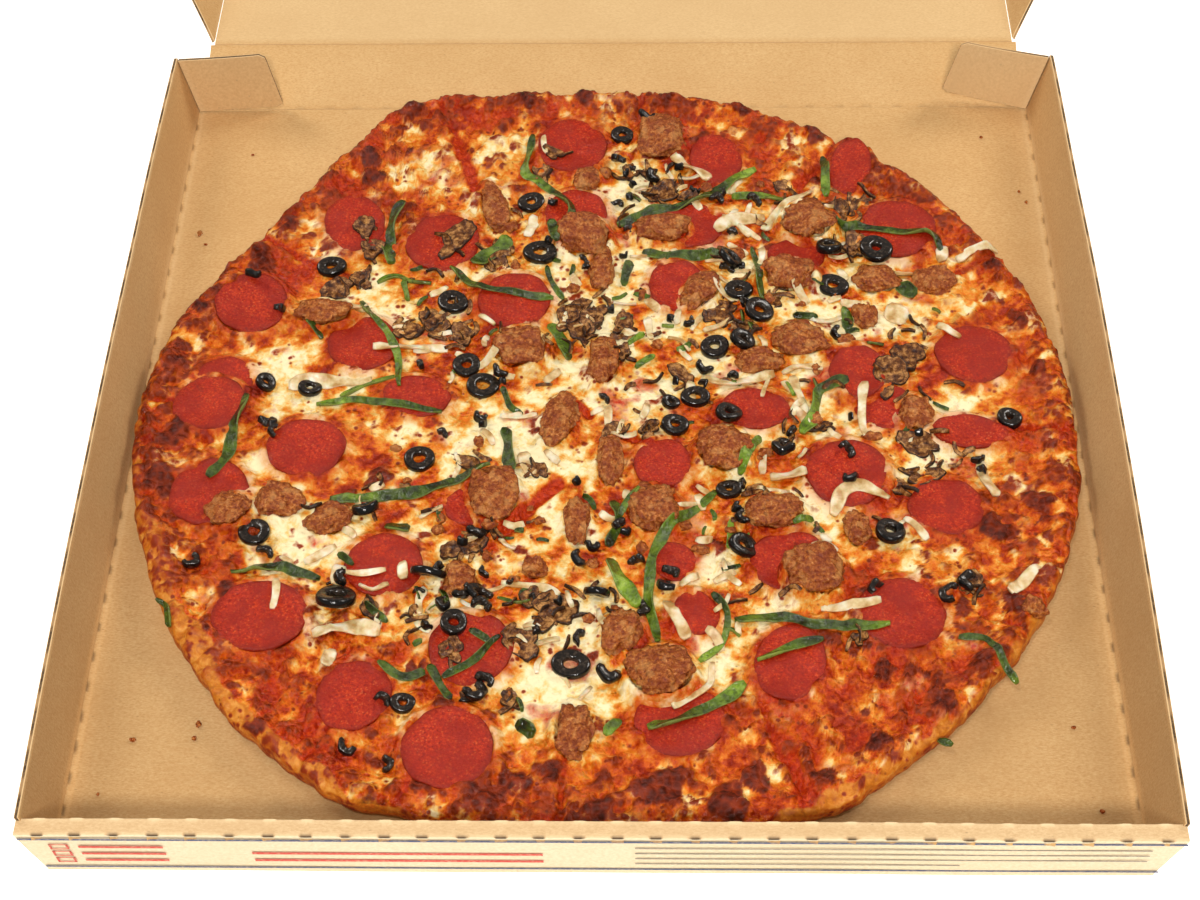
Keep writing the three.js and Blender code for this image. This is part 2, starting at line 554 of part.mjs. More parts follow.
// A low ridge along a line of points, sunk a little into the cheese.
function strip([width, ...flat]) {
  const line = [];
  for (let k = 0; k < flat.length; k += 2) line.push(new THREE.Vector2(flat[k], flat[k + 1]));
  const rings = line.map((at, k) => {
    const before = line[Math.max(k - 1, 0)];
    const after = line[Math.min(k + 1, line.length - 1)];
    const along = after.clone().sub(before).normalize();
    const across = new THREE.Vector2(-along.y, along.x);
    const ground = Math.max(facetHeight(at.x, at.y), TOPPING_LEVEL - 2);
    const slim = k === 0 || k === line.length - 1 ? 0.7 : 1;
    const corner = (share, up) => point(
      at.x + across.x * width * share * slim, at.y + across.y * width * share * slim, ground + up);
    return [corner(0.5, -2.5), corner(0.42, STRIP_HEIGHT * 0.75), corner(0, STRIP_HEIGHT),
      corner(-0.42, STRIP_HEIGHT * 0.75), corner(-0.5, -2.5)];
  });
  const middle = (ring) => ring.reduce((sum, p) => sum.add(p), point(0, 0, 0)).multiplyScalar(1 / ring.length);
  const made = ringStack(rings, middle(rings[0]), middle(rings[rings.length - 1]));
  return made.volume() > 0 ? made : ringStack(rings.reverse(), middle(rings[0]), middle(rings.at(-1)));
}

// The space kept free around and above a node, so that nothing fused touches it.
function clearance(piece) {
  const margin = 1.04 + 1.2 / Math.min(piece.across, piece.along);
  return ovalSolid(piece, [[margin, -GAP], [margin, 30]], 12, 0, -GAP, 30);
}

// What is left of a fused piece beside the nodes, without its crumbs.
function trimmed(piece, kept) {
  const box = piece.boundingBox();
  const near = placed.filter((other) => {
    const reach = Math.max(other.across, other.along) + 3;
    return other.x + reach > box.min[0] && other.x - reach < box.max[0]
      && other.y + reach > box.min[1] && other.y - reach < box.max[1];
  });
  if (near.length === 0) return [piece];
  const rest = near.reduce((left, other) => left.subtract(kept.get(other)), piece);
  return rest.decompose().filter((part) => part.volume() > 90);
}

// ---------------------------------------------------------------- the scene graph
const paint = {
  board: new THREE.MeshStandardMaterial({ color: '#d9b27c', roughness: 0.85, metalness: 0 }),
  crust: new THREE.MeshStandardMaterial({ color: '#d9822f', roughness: 0.6, metalness: 0 }),
  pepperoni: new THREE.MeshStandardMaterial({ color: '#b8331f', roughness: 0.4, metalness: 0 }),
  sausage: new THREE.MeshStandardMaterial({ color: '#8a5230', roughness: 0.6, metalness: 0 }),
};

const group = new THREE.Group();

function node(name, manifold, material) {
  const mesh = new THREE.Mesh(geometryOf(manifold), material);
  mesh.name = name;
  group.add(mesh);
}

node('tray', tray(), paint.board);
node('left_tab', cornerTab(-1, SPLAY_LEFT, 2.5, 2.4, 2), paint.board);
node('right_tab', cornerTab(1, SPLAY_RIGHT, 6, 3.8, 10), paint.board);
node('back_wall', backWall(), paint.board);
node('lid', lidPanel(), paint.board);
node('lid_left_flap', sideFlap(-1), paint.board);
node('lid_right_flap', sideFlap(1), paint.board);
node('lid_front_flap', frontFlap(), paint.board);

const numbered = (kind, k) => `${kind}_${String(k + 1).padStart(2, '0')}`;
PEPPERONI.forEach((place, k) => node(numbered('pepperoni', k), pepperoni(place), paint.pepperoni));
SAUSAGE.forEach((place, k) => node(numbered('sausage', k), sausage(place), paint.sausage));

const kept = new Map(placed.map((piece) => [piece, clearance(piece)]));
const fused = [...SMALL_SAUSAGE.map(fusedSausage), ...OLIVES.map(olive), ...STRIPS.map(strip)]
  .flatMap((piece) => trimmed(piece, kept));
// hollows closed off under crossing strips are filled: only the outer skin is kept
const skins = wasm.Manifold.union([bareBase(), ...fused]).asOriginal().simplify(0.15).decompose();
node('pizza', skins.sort((a, b) => b.volume() - a.volume())[0], paint.crust);

export default group;
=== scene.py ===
"""A whole combination pizza, cut in twelve, in its corrugated takeaway box, lid folded back.

The scene is in metres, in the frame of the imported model: +X right, +Y towards the lid's hinge,
+Z up. The lists and sizes below are in millimetres, unless they say otherwise.
"""
import math
import random

import bpy
import numpy as np
from mathutils import Matrix, Vector, noise


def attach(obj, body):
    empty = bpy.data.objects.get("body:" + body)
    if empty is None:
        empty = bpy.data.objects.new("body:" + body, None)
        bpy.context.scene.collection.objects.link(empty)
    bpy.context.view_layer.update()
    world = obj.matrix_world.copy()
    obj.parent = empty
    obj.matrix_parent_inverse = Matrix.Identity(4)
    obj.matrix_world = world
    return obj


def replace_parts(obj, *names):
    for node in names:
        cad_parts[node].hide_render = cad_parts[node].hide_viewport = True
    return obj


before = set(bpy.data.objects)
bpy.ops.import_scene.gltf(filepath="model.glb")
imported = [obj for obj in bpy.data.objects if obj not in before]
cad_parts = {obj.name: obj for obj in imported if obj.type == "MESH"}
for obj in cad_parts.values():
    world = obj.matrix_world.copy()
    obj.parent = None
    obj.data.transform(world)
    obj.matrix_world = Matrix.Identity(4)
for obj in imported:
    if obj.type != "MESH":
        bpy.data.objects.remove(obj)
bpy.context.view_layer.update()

MM = 0.001

# ---------------------------------------------------------------- sizes shared with the solids
BOARD = 2.0
FLOOR_HALF_WIDTH = 230.0
FLOOR_FRONT = -234.5
FLOOR_BACK = 233.0
WALL_SLANT = 38.7
SPLAY = {-1: 9.0, 1: 11.4}      # degrees that the left and right walls lean out
WALL_BOW = 2.5
FRONT_HEIGHT = 37.5
FRONT_LEAN = 3.8
LEDGE = 7.9
BACK_WALL = 43.0
BACK_REST = 15.7
LID_HALF_WIDTH = 225.5
LID_LENGTH = 459.8
SIDE_FLAP = 24.0
FRONT_FLAP = 22.0
FLAP_REST = 50.0
TAB_WIDTH = 47.0
TAB_FRONT = 230.6

PIZZA_Y = 3.0
PIZZA_UNDERSIDE = 2.4
TOPPING_LEVEL = 12.2
CRUST_WIDTH = 17.0
PEPPERONI_THICK = 2.0
SAUSAGE_HEIGHT = 8.5
# the pizza's outline, (degrees, mm from the middle)
CRUST_EDGE = [
    (0, 226.5), (20, 227), (40, 227), (55, 226.5), (70, 228.5), (86, 228.5), (95, 228.5),
    (105, 235), (114, 245.5), (119, 245), (128, 230), (137, 221), (147, 217), (156, 219),
    (165, 225), (180, 227.5), (190, 228.5), (200, 227.5), (215, 231), (228, 235.5),
    (243, 236.5), (250, 231), (258, 228.5), (270, 228), (282, 228.5), (290, 234),
    (297, 235.5), (304, 232.5), (320, 230.5), (345, 228.5), (360, 226.5)]
# the cuts' directions, in degrees
CUTS = [-33.5, -2, 28, 57, 86, 113, 146.5, 178, 218, 236.5, 266, 293]

# ---------------------------------------------------------------- sizes of the finer work
SLIT_PITCH = 15.8               # perforations along the creases
SLIT_LENGTH = 5.0
FLUTE_PITCH = 3.3
RIB_PITCH = 2 * math.pi * FLUTE_PITCH       # the flutes' ribs are drawn broader, 20.7 mm apart
WAVE = 2 * math.pi / 20         # one wave of the wave texture, in its own units
SMALL_SAUSAGE_HEIGHT = 7.5
# how far out a solid's corners lie on average, as a share of its radius
PEPPERONI_CORNERS = 0.96
SAUSAGE_CORNERS = 0.82
# how much of their cut width the strips keep in the oven
ONION_KEEPS = 0.82
PEPPER_KEEPS = 0.88
STRIP_STEP = 1.7                # spacing of the points along a strip
BITS_APART = 4.0                # small bits of one patch keep this far from each other
BLISTERS_IN_ALL = 1500
BLISTER_REACH = 234.0
# where the deep orange outer ring of the bake begins, (degrees, mm from the middle)
RING_START = [
    (0, 190), (30, 188), (60, 178), (85, 182), (100, 170), (115, 146), (130, 150), (145, 172),
    (160, 186), (175, 186), (200, 180), (218, 165), (238, 158), (250, 174), (262, 186),
    (275, 184), (288, 172), (296, 148), (310, 146), (330, 160), (345, 182), (360, 190)]
# how much browner than the rest the outer cheese is, (degrees, share)
BROWNER = [(0, 0.18), (30, 0.16), (50, 0.18), (65, 0.32), (85, 0.16), (100, 0.08), (120, 0.22),
           (150, 0.34), (172, 0.6), (198, 0.54), (212, 0.05), (240, 0.0), (262, 0.34),
           (285, 0.12), (320, 0.04), (345, 0.1), (360, 0.18)]
# how much redder with sauce the outer cheese is, (degrees, share)
REDDER = [(0, 0.3), (20, 0.12), (60, 0.04), (95, 0.12), (105, 0.4), (130, 0.58), (150, 0.42),
          (180, 0.1), (205, 0.24), (235, 0.2), (245, 0.0), (285, 0.0), (296, 0.45), (318, 0.45),
          (330, 0.15), (360, 0.3)]
# bare golden dough shows outside this many mm from the edge, (degrees, mm)
DOUGH_BAND = [(0, 1), (160, 1), (178, 3), (190, 7), (205, 11), (218, 12), (232, 9), (245, 4),
              (250, 2), (285, 2), (297, 6), (318, 5), (330, 3), (345, 1), (360, 1)]
# pale patches of cheese, (x, y, radius)
PALE = [(-95, 175, 20), (-150, 120, 14), (-60, 185, 15), (-110, 0, 16), (-100, 60, 16),
        (-25, 65, 14), (10, 80, 16), (10, 110, 14), (10, 150, 18), (35, 60, 12), (60, 35, 12),
        (110, 5, 14), (150, 65, 15), (165, -20, 10), (150, -85, 14), (60, -135, 12),
        (-10, -150, 18), (-35, -25, 16), (-140, -65, 16), (-30, 20, 14), (20, 15, 12),
        (190, 82, 14), (-60, -10, 14), (100, -60, 12), (-90, -125, 12), (120, 60, 14),
        (-20, -115, 14), (40, -85, 10), (-160, 40, 12), (75, 100, 12), (-150, -90, 12),
        (-70, 150, 14), (-10, -90, 10), (175, 85, 12), (-5, 60, 12), (-115, 85, 12),
        (-26, -159, 22)]
# dark domes blown up by the oven, (x, y, radius)
BLISTERS = [(26, -203, 12), (55, -210, 11), (67, -197, 8), (-48, -208, 10), (-20, -195, 6),
            (-36, -200, 8), (-107, -36, 8), (-213, 33, 6), (-208, -10, 9), (-210, -40, 10),
            (-221, -35, 5), (-178, 103, 9), (-128, 178, 7), (-108, 215, 8), (-125, 165, 7),
            (-45, 224, 7), (-14, 225, 7), (72, 214, 6), (112, 196, 8), (203, -50, 8),
            (180, -65, 8), (125, -143, 6), (-198, 100, 6), (-75, -200, 6), (96, -196, 6),
            (150, -160, 7), (186, -110, 6), (212, 30, 5), (206, 60, 5), (-150, -175, 6),
            (30, 222, 5), (168, -140, 6), (-205, 70, 5), (0, -214, 7), (120, -180, 6)]
# open gashes where the sauce shows, (half width, x, y, x, y, ...)
GASHES = [(3.0, -84, 198, -77, 178, -71, 158), (1.6, -190, 130, -165, 112, -150, 101),
          (3.4, -47, -68, -34, -52, -22, -38), (2.2, 88, -215, 83, -185),
          (1.6, 195, -3, 222, -8), (2.4, 112, 172, 100, 163), (2.0, -120, -165, -127, -178),
          (2.5, -20, 14, -8, 4), (2.2, 8, -8, 24, -16)]

# small toppings: (x, y, half width, half length, turn)
SMALL_SAUSAGE = [
    (-12, 163, 7, 8, 0), (-60, 142, 7, 17, 14), (-3, 99, 7, 14, 0), (137, 92, 12, 10, 0),
    (166, 91, 12, 10, 0), (-153, -50, 12, 10, 0), (-128, -61, 11, 9, 20), (3, -26, 6.5, 15, 0),
    (-12, -62, 6, 14, 0), (76, 37, 13, 7.5, 0), (150, 3, 9, 10, 0), (118, -66, 6.5, 10, 0),
    (-65, -95, 8, 10, 0), (-31, -88, 6, 6, 0), (194, -112, 6, 5, 0),
    (47, 82, 8.5, 13, -35), (-176, -57, 11, 10, 30), (130, 66, 7, 8, 0)]
HIDDEN_PEPPERONI = [(44, 131, 17, 16, 0), (-188, 25, 15, 14, 0), (136, 8, 15, 14, 0),
                    (-62, -52, 13, 12, 0), (33, -84, 11, 11, 0)]
# black olive slices: (x, y, radius, tilt, turn, degrees of the ring that is there)
OLIVES = [
    (-142, 101, 7.5, 0, 0, 360), (7, 199, 6.5, 0, 0, 360), (-41, 148, 7.5, 0, 0, 360),
    (-35, 111, 8.5, 0, 0, 360), (67, 84, 7, 0, 0, 360), (63, 105, 7, 40, 20, 360),
    (114, 112, 7.5, 25, 80, 360), (138, 110, 8.5, 0, 0, 360), (115, 88, 8, 0, 0, 360),
    (-167, 22, 5.5, 30, 0, 360), (-145, 19, 6, 20, 40, 360), (-164, -3, 6, 60, 70, 200),
    (-88, -25, 8, 0, 0, 360), (-162, -69, 8, 0, 0, 360), (-111, -56, 6.5, 45, 110, 360),
    (-78, 76, 8, 0, 0, 360), (-69, 35, 7.5, 0, 0, 360), (-60, 21, 8, 10, 0, 360),
    (54, 46, 7.5, 0, 0, 360), (68, 49, 6.5, 30, 0, 360), (44, 14, 7, 0, 0, 360),
    (60, 1, 7, 25, 30, 360), (34, -4, 6.5, 10, 0, 360), (59, -43, 6, 0, 0, 360),
    (-58, -66, 6.5, 30, 0, 200), (77, 70, 8, 15, 0, 360), (65, -77, 7.5, 35, 0, 360),
    (86, -18, 6.5, 30, 90, 300), (195, 0, 6, 0, 0, 360), (133, -68, 8, 20, 60, 360),
    (-190, -85, 5.5, 15, 0, 200), (-120, -107, 10, 35, 80, 360), (-79, -93, 8, 60, 80, 360),
    (-86, -161, 5.5, 10, 0, 360), (-108, -182, 5, 10, 0, 200), (-55, -104, 7, 40, 30, 240),
    (-66, -120, 6.5, 10, 0, 360), (-13, -140, 8.5, 0, 0, 360), (4, -144, 7, 30, 10, 190),
    (-2, -104, 7.5, 60, 80, 360), (31, -100, 6.5, 50, 70, 200), (-55, -155, 7, 35, 20, 200),
    (158, -103, 6.5, 30, 150, 220), (168, -96, 6.5, 20, 0, 200), (-180, 91, 5.5, 30, 80, 180),
    (21, 211, 6.5, 30, 0, 200), (6, 177, 6, 50, 80, 180), (-31, 144, 5, 40, 80, 180),
    (4, 145, 5, 40, 80, 180), (25, 166, 6, 30, 10, 200), (-13, 103, 5, 20, 0, 200),
    (57, 147, 4.5, 20, 0, 180), (61, 98, 5, 20, 30, 180), (76, 148, 5, 20, 0, 180),
    (-166, 68, 5, 50, 80, 180), (-158, -10, 4.5, 20, 0, 180), (-51, 29, 5, 20, 0, 180),
    (49, 34, 5, 20, 0, 200), (32, 10, 4.5, 20, 0, 360), (9, -66, 4.5, 30, 0, 180),
    (-5, -75, 4.5, 30, 40, 180), (116, 55, 4.5, 20, 0, 180), (115, -22, 5, 30, 0, 200),
    (116, -37, 5, 30, 60, 200), (-117, -96, 5, 30, 0, 180), (-95, -162, 4.5, 30, 0, 180),
    (-92, -191, 4.5, 30, 0, 180), (-64, -103, 5.5, 30, 0, 200), (-54, -112, 5.5, 30, 60, 200),
    (-70, -108, 5.5, 30, 90, 200), (-10, -84, 5.5, 60, 0, 180), (17, -111, 5, 30, 0, 180),
    (31, -92, 5, 50, 70, 180), (-60, -157, 5, 30, 0, 200), (-51, -151, 5, 30, 50, 180),
    (125, -102, 5, 30, 0, 180), (-156, -82, 5, 30, 0, 180), (66, -64, 5, 30, 0, 180)]
# green pepper strips: (width, x, y, x, y, ...)
PEPPERS = [
    (8, -108, 145, -113, 135, -114, 120, -112, 104), (3.5, -118, 91, -108, 95, -100, 92, -90, 90),
    (4, -104, 92, -102, 78), (5.5, -41, 198, -45, 172, -38, 162, -30, 156, -20, 142, -19, 130),
    (6, -31, 133, -28, 125, -26, 115), (9, -70, 103, -60, 110, -51, 121),
    (4.5, -80, 100, -66, 86, -40, 79, -27, 78), (3.5, -31, 102, -28, 88, -22, 80),
    (7, 5, 130, 30, 141, 55, 154, 70, 166, 78, 172), (5.5, 65, 150, 80, 152, 96, 150),
    (6, 18, 112, 30, 108, 45, 107, 58, 113), (5.5, 12, 105, 8, 89),
    (4.5, 75, 115, 77, 100, 78, 85, 80, 73), (5.5, 114, 181, 115, 165, 114, 151),
    (5.5, 118, 127, 130, 126, 150, 122, 165, 121, 172, 109), (9, 148, 88, 156, 80),
    (7, 120, 72, 121, 58), (4, 94, 64, 106, 68), (4.5, -125, 78, -115, 62, -105, 45, -101, 20),
    (4.5, -141, 10, -120, 11, -100, 8, -79, 4), (3.5, -130, 15, -118, 22, -104, 27),
    (6.5, -175, 13, -179, -5, -181, -25, -187, -38), (8, -28, 62, -22, 50, -18, 38),
    (3.5, -51, 20, -46, 8, -40, 4), (7, -48, -5, -46, -20, -44, -34),
    (6.5, -129, -48, -108, -49, -90, -45, -70, -37, -54, -31), (4, 28, 62, 34, 61),
    (4, 11, 48, 19, 55), (3.5, 15, 33, 24, 41), (5.5, 75, -12, 68, -25, 65, -36),
    (6.5, 5, -49, 8, -60, 3, -76), (4, 16, -46, 8, -60),
    (6, 53, -44, 40, -58, 28, -72, 22, -90, 22, -110, 26, -129), (4, 60, -62, 58, -76),
    (7, 119, 24, 106, 20, 103, 10, 100, 0, 95, -9),
    (5.5, -170, -92, -160, -88, -145, -90, -129, -95), (9, -101, -64, -90, -66),
    (4, -122, -82, -114, -88), (4.5, -108, -109, -96, -118),
    (3.5, -202, -106, -197, -112, -194, -122), (9, 4, -84, 10, -98, 17, -110),
    (4, -37, -103, -32, -98), (4, -45, -126, -55, -138, -69, -149), (4, -59, -123, -49, -129),
    (5, -75, -142, -70, -152, -65, -159), (4.5, -98, -140, -90, -147, -77, -146),
    (9, -36, -172, -28, -177), (6.5, 21, -173, 40, -167, 55, -158, 64, -151),
    (6, 3, -177, 9, -168), (4, 50, -103, 57, -115, 54, -128, 44, -139),
    (5.5, 60, -116, 75, -115, 90, -119, 110, -121, 129, -119),
    (5, 69, -138, 80, -134, 90, -130, 99, -127), (4, 159, -126, 170, -129, 176, -139, 182, -150),
    (4, 146, -178, 151, -182), (4, 88, -66, 98, -62), (4, -150, 60, -142, 52)]
# raw onion slivers: (width, x, y, x, y, ...)
ONIONS = [
    (9, 34, 180, 44, 172, 53, 163), (3, 30, 176, 34, 166), (8, -42, 123, -38, 137),
    (8, 56, 127, 68, 135, 82, 137), (4, -36, 196, -34, 183), (7, 106, 155, 95, 145, 82, 129),
    (8, 179, 106, 188, 109, 200, 110), (7, 147, 97, 156, 96), (8, 172, 113, 171, 103),
    (9, -156, 22, -136, 24, -115, 25), (6, -116, 45, -98, 46, -79, 46), (5, 49, 57, 64, 65),
    (7, 47, 27, 60, 24, 72, 26, 83, 29), (5, 87, 30, 96, 34, 107, 32),
    (5.5, 127, 22, 124, 5, 126, -12), (5.5, 92, 28, 95, 15, 97, 4), (12, 140, 70, 151, 66),
    (6, 165, 60, 176, 51), (9, 79, -35, 96, -33), (7.5, 107, -58, 112, -46, 122, -42, 134, -48),
    (8, 178, -27, 180, -38, 183, -49), (6.5, 184, -103, 191, -96, 199, -88),
    (5.5, 99, -110, 112, -109, 126, -107), (9.5, -129, -126, -114, -122, -99, -123),
    (8, -120, -132, -121, -143), (4, -148, -97, -148, -113), (6, -92, -86, -90, -95),
    (3.5, -122, -90, -110, -93, -99, -90), (3.5, -110, -98, -104, -101, -97, -98),
    (8, -120, -88, -121, -98), (4.5, -46, -95, -30, -98, -19, -103),
    (7.5, 30, -107, 34, -117, 39, -127), (4.5, 50, -139, 47, -152, 32, -163),
    (5, 44, -46, 47, -55), (9, -39, -20, -34, -34), (5, -28, -20, -22, -27),
    (5, 118, 100, 122, 92), (4, 140, -60, 150, -72), (5, -30, 24, -22, 30), (4, 62, 118, 72, 110),
    (6, 8, 60, 14, 52), (4, -64, 66, -56, 60), (6, 118, 76, 128, 74), (5, -110, -44, -104, -40),
    (5, 20, 78, 26, 70), (4, 96, -76, 108, -80)]
# mushroom slices: (x, y, half width, half length, turn)
MUSHROOMS = [
    (-79, 119, 7, 15, 10), (-122, 113, 6, 8, 40), (-127, 128, 6, 8, -20), (-138, 86, 10, 7, 0),
    (-126, 92, 5, 7, 60), (-60, 105, 6, 10, -60), (-30, 183, 7, 4, 0), (-36, 170, 5, 7, 30),
    (30, 155, 11, 7, 10), (94, 158, 5, 8, 0), (113, 148, 6, 8, 20), (123, 139, 6, 7, -30),
    (132, 147, 6, 7, 50), (128, 115, 8, 7, 0), (-100, 57, 6, 8, 0), (-85, 60, 7, 8, 50),
    (-72, 55, 6, 8, -40), (-20, 66, 6, 10, -50), (-12, 56, 7, 11, 30), (-6, 68, 6, 9, 70),
    (8, 62, 5, 8, 0), (57, 69, 10, 9, 0), (149, 40, 9, 9, 0), (139, 26, 9, 13, -40),
    (-22, -112, 11, 12, 0), (-35, -130, 8, 10, 30), (-66, -134, 6, 7, 0), (150, -15, 11, 7, 0),
    (150, -33, 11, 7, 20), (168, -97, 7, 7, 0), (37, 30, 4, 8, 0), (3, -9, 8, 4, 0),
    (22, -5, 6, 4, 0), (-66, -27, 9, 3.5, 0), (-59, -73, 9, 6, 0), (-32, -31, 7, 4, -20),
    (115, -127, 4, 3, 0), (-39, -159, 6, 4, 0), (72, -44, 6, 5, 0), (105, -4, 5, 3, 0),
    (12, 170, 6, 5, 40), (42, 150, 6, 5, 0), (-88, 66, 5, 7, 80), (-14, 74, 5, 7, 10),
    (70, 60, 6, 5, 0), (84, 78, 6, 5, 30), (8, 40, 4, 6, 0), (-70, -78, 6, 5, 0),
    (-30, -104, 6, 7, 60), (140, -40, 5, 7, 60), (-104, -112, 4, 6, 30), (22, 168, 4, 6, 10)]
# where small bits lie thickest, (x, y, spread, how many)
MEAT_PATCHES = [(-30, 120, 40, 8), (60, 90, 40, 9), (100, -20, 40, 8), (-100, -60, 35, 7),
                (0, -60, 40, 7), (-60, -110, 30, 6)]
MUSHROOM_PATCHES = [(-70, 105, 16, 10), (-70, 62, 14, 9), (-12, 60, 16, 12), (60, 90, 20, 9),
                    (125, 130, 18, 9), (140, 30, 14, 9), (-25, -115, 16, 10), (-65, -135, 14, 7),
                    (30, 150, 18, 8), (110, -30, 22, 8), (20, 10, 20, 7), (160, -20, 12, 5),
                    (-110, -70, 22, 6), (70, -110, 22, 5), (-60, -70, 14, 6)]
ONION_PATCHES = [(60, 40, 30, 13), (20, 80, 26, 12), (110, 80, 26, 10), (50, 150, 24, 8),
                 (110, -30, 24, 8), (-70, 30, 26, 7), (-90, 70, 26, 6), (-60, -90, 24, 9),
                 (-110, -80, 20, 7), (-20, -130, 24, 7), (20, -40, 24, 7), (60, -100, 24, 6),
                 (-10, 20, 22, 6)]
PEPPER_PATCHES = [(60, 60, 36, 10), (-60, 90, 36, 7), (-70, -120, 30, 8), (60, -90, 34, 7),
                  (-20, -60, 34, 6), (120, 20, 30, 6), (20, 140, 30, 5)]
OLIVE_PATCHES = [(30, 180, 26, 6), (60, 60, 34, 9), (-60, -110, 24, 9), (10, -80, 26, 6),
                 (110, -30, 26, 6), (-70, 30, 30, 5), (0, 120, 30, 6)]
# crumbs that fell on the board, (x, y, radius)
CRUMBS = [(-217, 136, 1.3), (-177, -165, 1.4), (-178, -172, 1.0), (-205, -173, 1.1),
          (-213, 128, 0.8), (222, 158, 0.9), (219, 166, 0.7), (203, 208, 0.8), (-216, -200, 0.8),
          (207, -165, 0.9), (-196, 196, 0.7), (214, -206, 0.8)]

# ---------------------------------------------------------------- camera, lamps and table
CAMERA_PLACE = (0.022447, -0.640271, 0.798042)      # metres
CAMERA_TURN = (-2.2496, 51.6017, -1.7348)           # degrees: yaw, pitch down, roll
LENS = 62.776
SENSOR = 36.0
# (name, place, aimed at, width, watts, colour), in metres
LAMPS = [("front", (0.1, -1.45, 1.6), (0, 0.5, 0), 0.35, 30.3, "#fffaf4"),
         ("glint", (-0.2, -0.6, 1.5), (0, 0.1, 0), 0.06, 5, "#ffffff"),
         ("left", (-1.25, 0.95, 1.25), (0, 0.35, 0), 0.7, 13.5, "#fffaf2"),
         ("right", (1.25, 0.95, 1.25), (0, 0.35, 0), 0.7, 14.5, "#fffaf2")]
BACKDROP_LIGHT = 0.27           # the backdrop shows white, and lights the part by this share
TABLE_GLOW = 0.55
TABLE_REACH = 4.0               # metres
TABLE_TOP = -0.0004             # metres, just clear of the tray's underside


# ---------------------------------------------------------------- maps and curves
def smooth(low, high, value):
    """0 below low, 1 above high, eased between."""
    t = np.clip((value - low) / (high - low), 0, 1)
    return t * t * (3 - 2 * t)


def lumps(x, y, size, seed):
    """Smooth random rises and dips of about this size, from -1 to 1."""
    cells = 61
    table = np.random.default_rng(seed).uniform(-1, 1, (cells, cells))
    c, s = math.cos(seed), math.sin(seed)
    u, v = (x * c - y * s) / size + 7.3, (x * s + y * c) / size + 3.9
    i, j = np.floor(u).astype(int), np.floor(v).astype(int)
    a, b = u - i, v - j
    a, b = a * a * (3 - 2 * a), b * b * (3 - 2 * b)

    def corner(di, dj):
        return table[(i + di) % cells, (j + dj) % cells]
    near = corner(0, 0) * (1 - a) + corner(1, 0) * a
    far = corner(0, 1) * (1 - a) + corner(1, 1) * a
    return near * (1 - b) + far * b


def crumple(x, y, size, seed, layers=3):
    """Lumps with smaller lumps on them, from about -1 to 1."""
    total, weight, sum_of_weights = 0, 1.0, 0.0
    for k in range(layers):
        total = total + weight * lumps(x, y, size / 2 ** k, seed + 17 * k)
        sum_of_weights += weight
        weight *= 0.6
    return total / sum_of_weights * 1.35


def around(table, degrees):
    """A value that goes round the pizza, eased between the table's angles."""
    angles, values = np.array(table, float).T
    at = np.mod(degrees, 360.0)
    k = np.clip(np.searchsorted(angles, at, side="right") - 1, 0, len(angles) - 2)
    t = (at - angles[k]) / (angles[k + 1] - angles[k])
    t = t * t * (3 - 2 * t)
    return values[k] + (values[k + 1] - values[k]) * t


def line_distance(x, y, flat):
    """Distance from each place to a line of points."""
    best = np.full(np.shape(x), 1e9)
    points = [flat[k:k + 2] for k in range(0, len(flat), 2)]
    for (ax, ay), (bx, by) in zip(points, points[1:]):
        dx, dy = bx - ax, by - ay
        t = np.clip(((x - ax) * dx + (y - ay) * dy) / (dx * dx + dy * dy), 0, 1)
        best = np.minimum(best, np.hypot(x - ax - t * dx, y - ay - t * dy))
    return best


# ---------------------------------------------------------------- materials
def tint(code):
    """sRGB hex to linear."""
    channels = [int(code[k:k + 2], 16) / 255 for k in (1, 3, 5)]
    return tuple(c / 12.92 if c <= 0.04045 else ((c + 0.055) / 1.055) ** 2.4
                 for c in channels) + (1.0,)


def add(tree, kind, values=None, stops=None, **settings):
    """One node with its settings; values fills its inputs with numbers or links, and stops
    gives a ramp its (place, colour or grey)."""
    made = tree.nodes.new(kind)
    for key, value in settings.items():
        setattr(made, key, value)
    for key, value in (values or {}).items():
        if isinstance(value, bpy.types.NodeSocket):
            tree.links.new(value, made.inputs[key])
        else:
            made.inputs[key].default_value = value
    if stops:
        scale = made.color_ramp.elements
        while len(scale) < len(stops):
            scale.new(0.5)
        for element, (place, code) in zip(scale, stops):
            element.position = place
            element.color = tint(code) if isinstance(code, str) else (code, code, code, 1)
    return made


def start_material(name, roughness, ior=1.5, **sockets):
    """A material with one Principled shader: (material, tree, object coordinates)."""
    made = bpy.data.materials.new(name)
    made.use_nodes = True
    tree = made.node_tree
    shader = tree.nodes["Principled BSDF"]
    shader.inputs["Roughness"].default_value = roughness
    shader.inputs["IOR"].default_value = ior
    for key, value in sockets.items():
        shader.inputs[key.replace("_", " ")].default_value = value
    place = add(tree, "ShaderNodeTexCoord").outputs["Object"]
    return made, tree, place


def finish_material(made, colour, height, strength, depth):
    """The material with its colour, and its relief this many millimetres deep."""
    tree = made.node_tree
    shader = tree.nodes["Principled BSDF"]
    bump = add(tree, "ShaderNodeBump", {"Height": height, "Strength": strength,
                                        "Distance": depth * MM})
    tree.links.new(colour, shader.inputs["Base Color"])
    tree.links.new(bump.outputs[0], shader.inputs["Normal"])
    return made


def coated(tree, colour, *coats):
    """A colour with others laid over it in turn, each (share, colour)."""
    for share, coat in coats:
        colour = add(tree, "ShaderNodeMix", {0: share, 6: colour, 7: coat},
                     data_type="RGBA").outputs[2]
    return colour


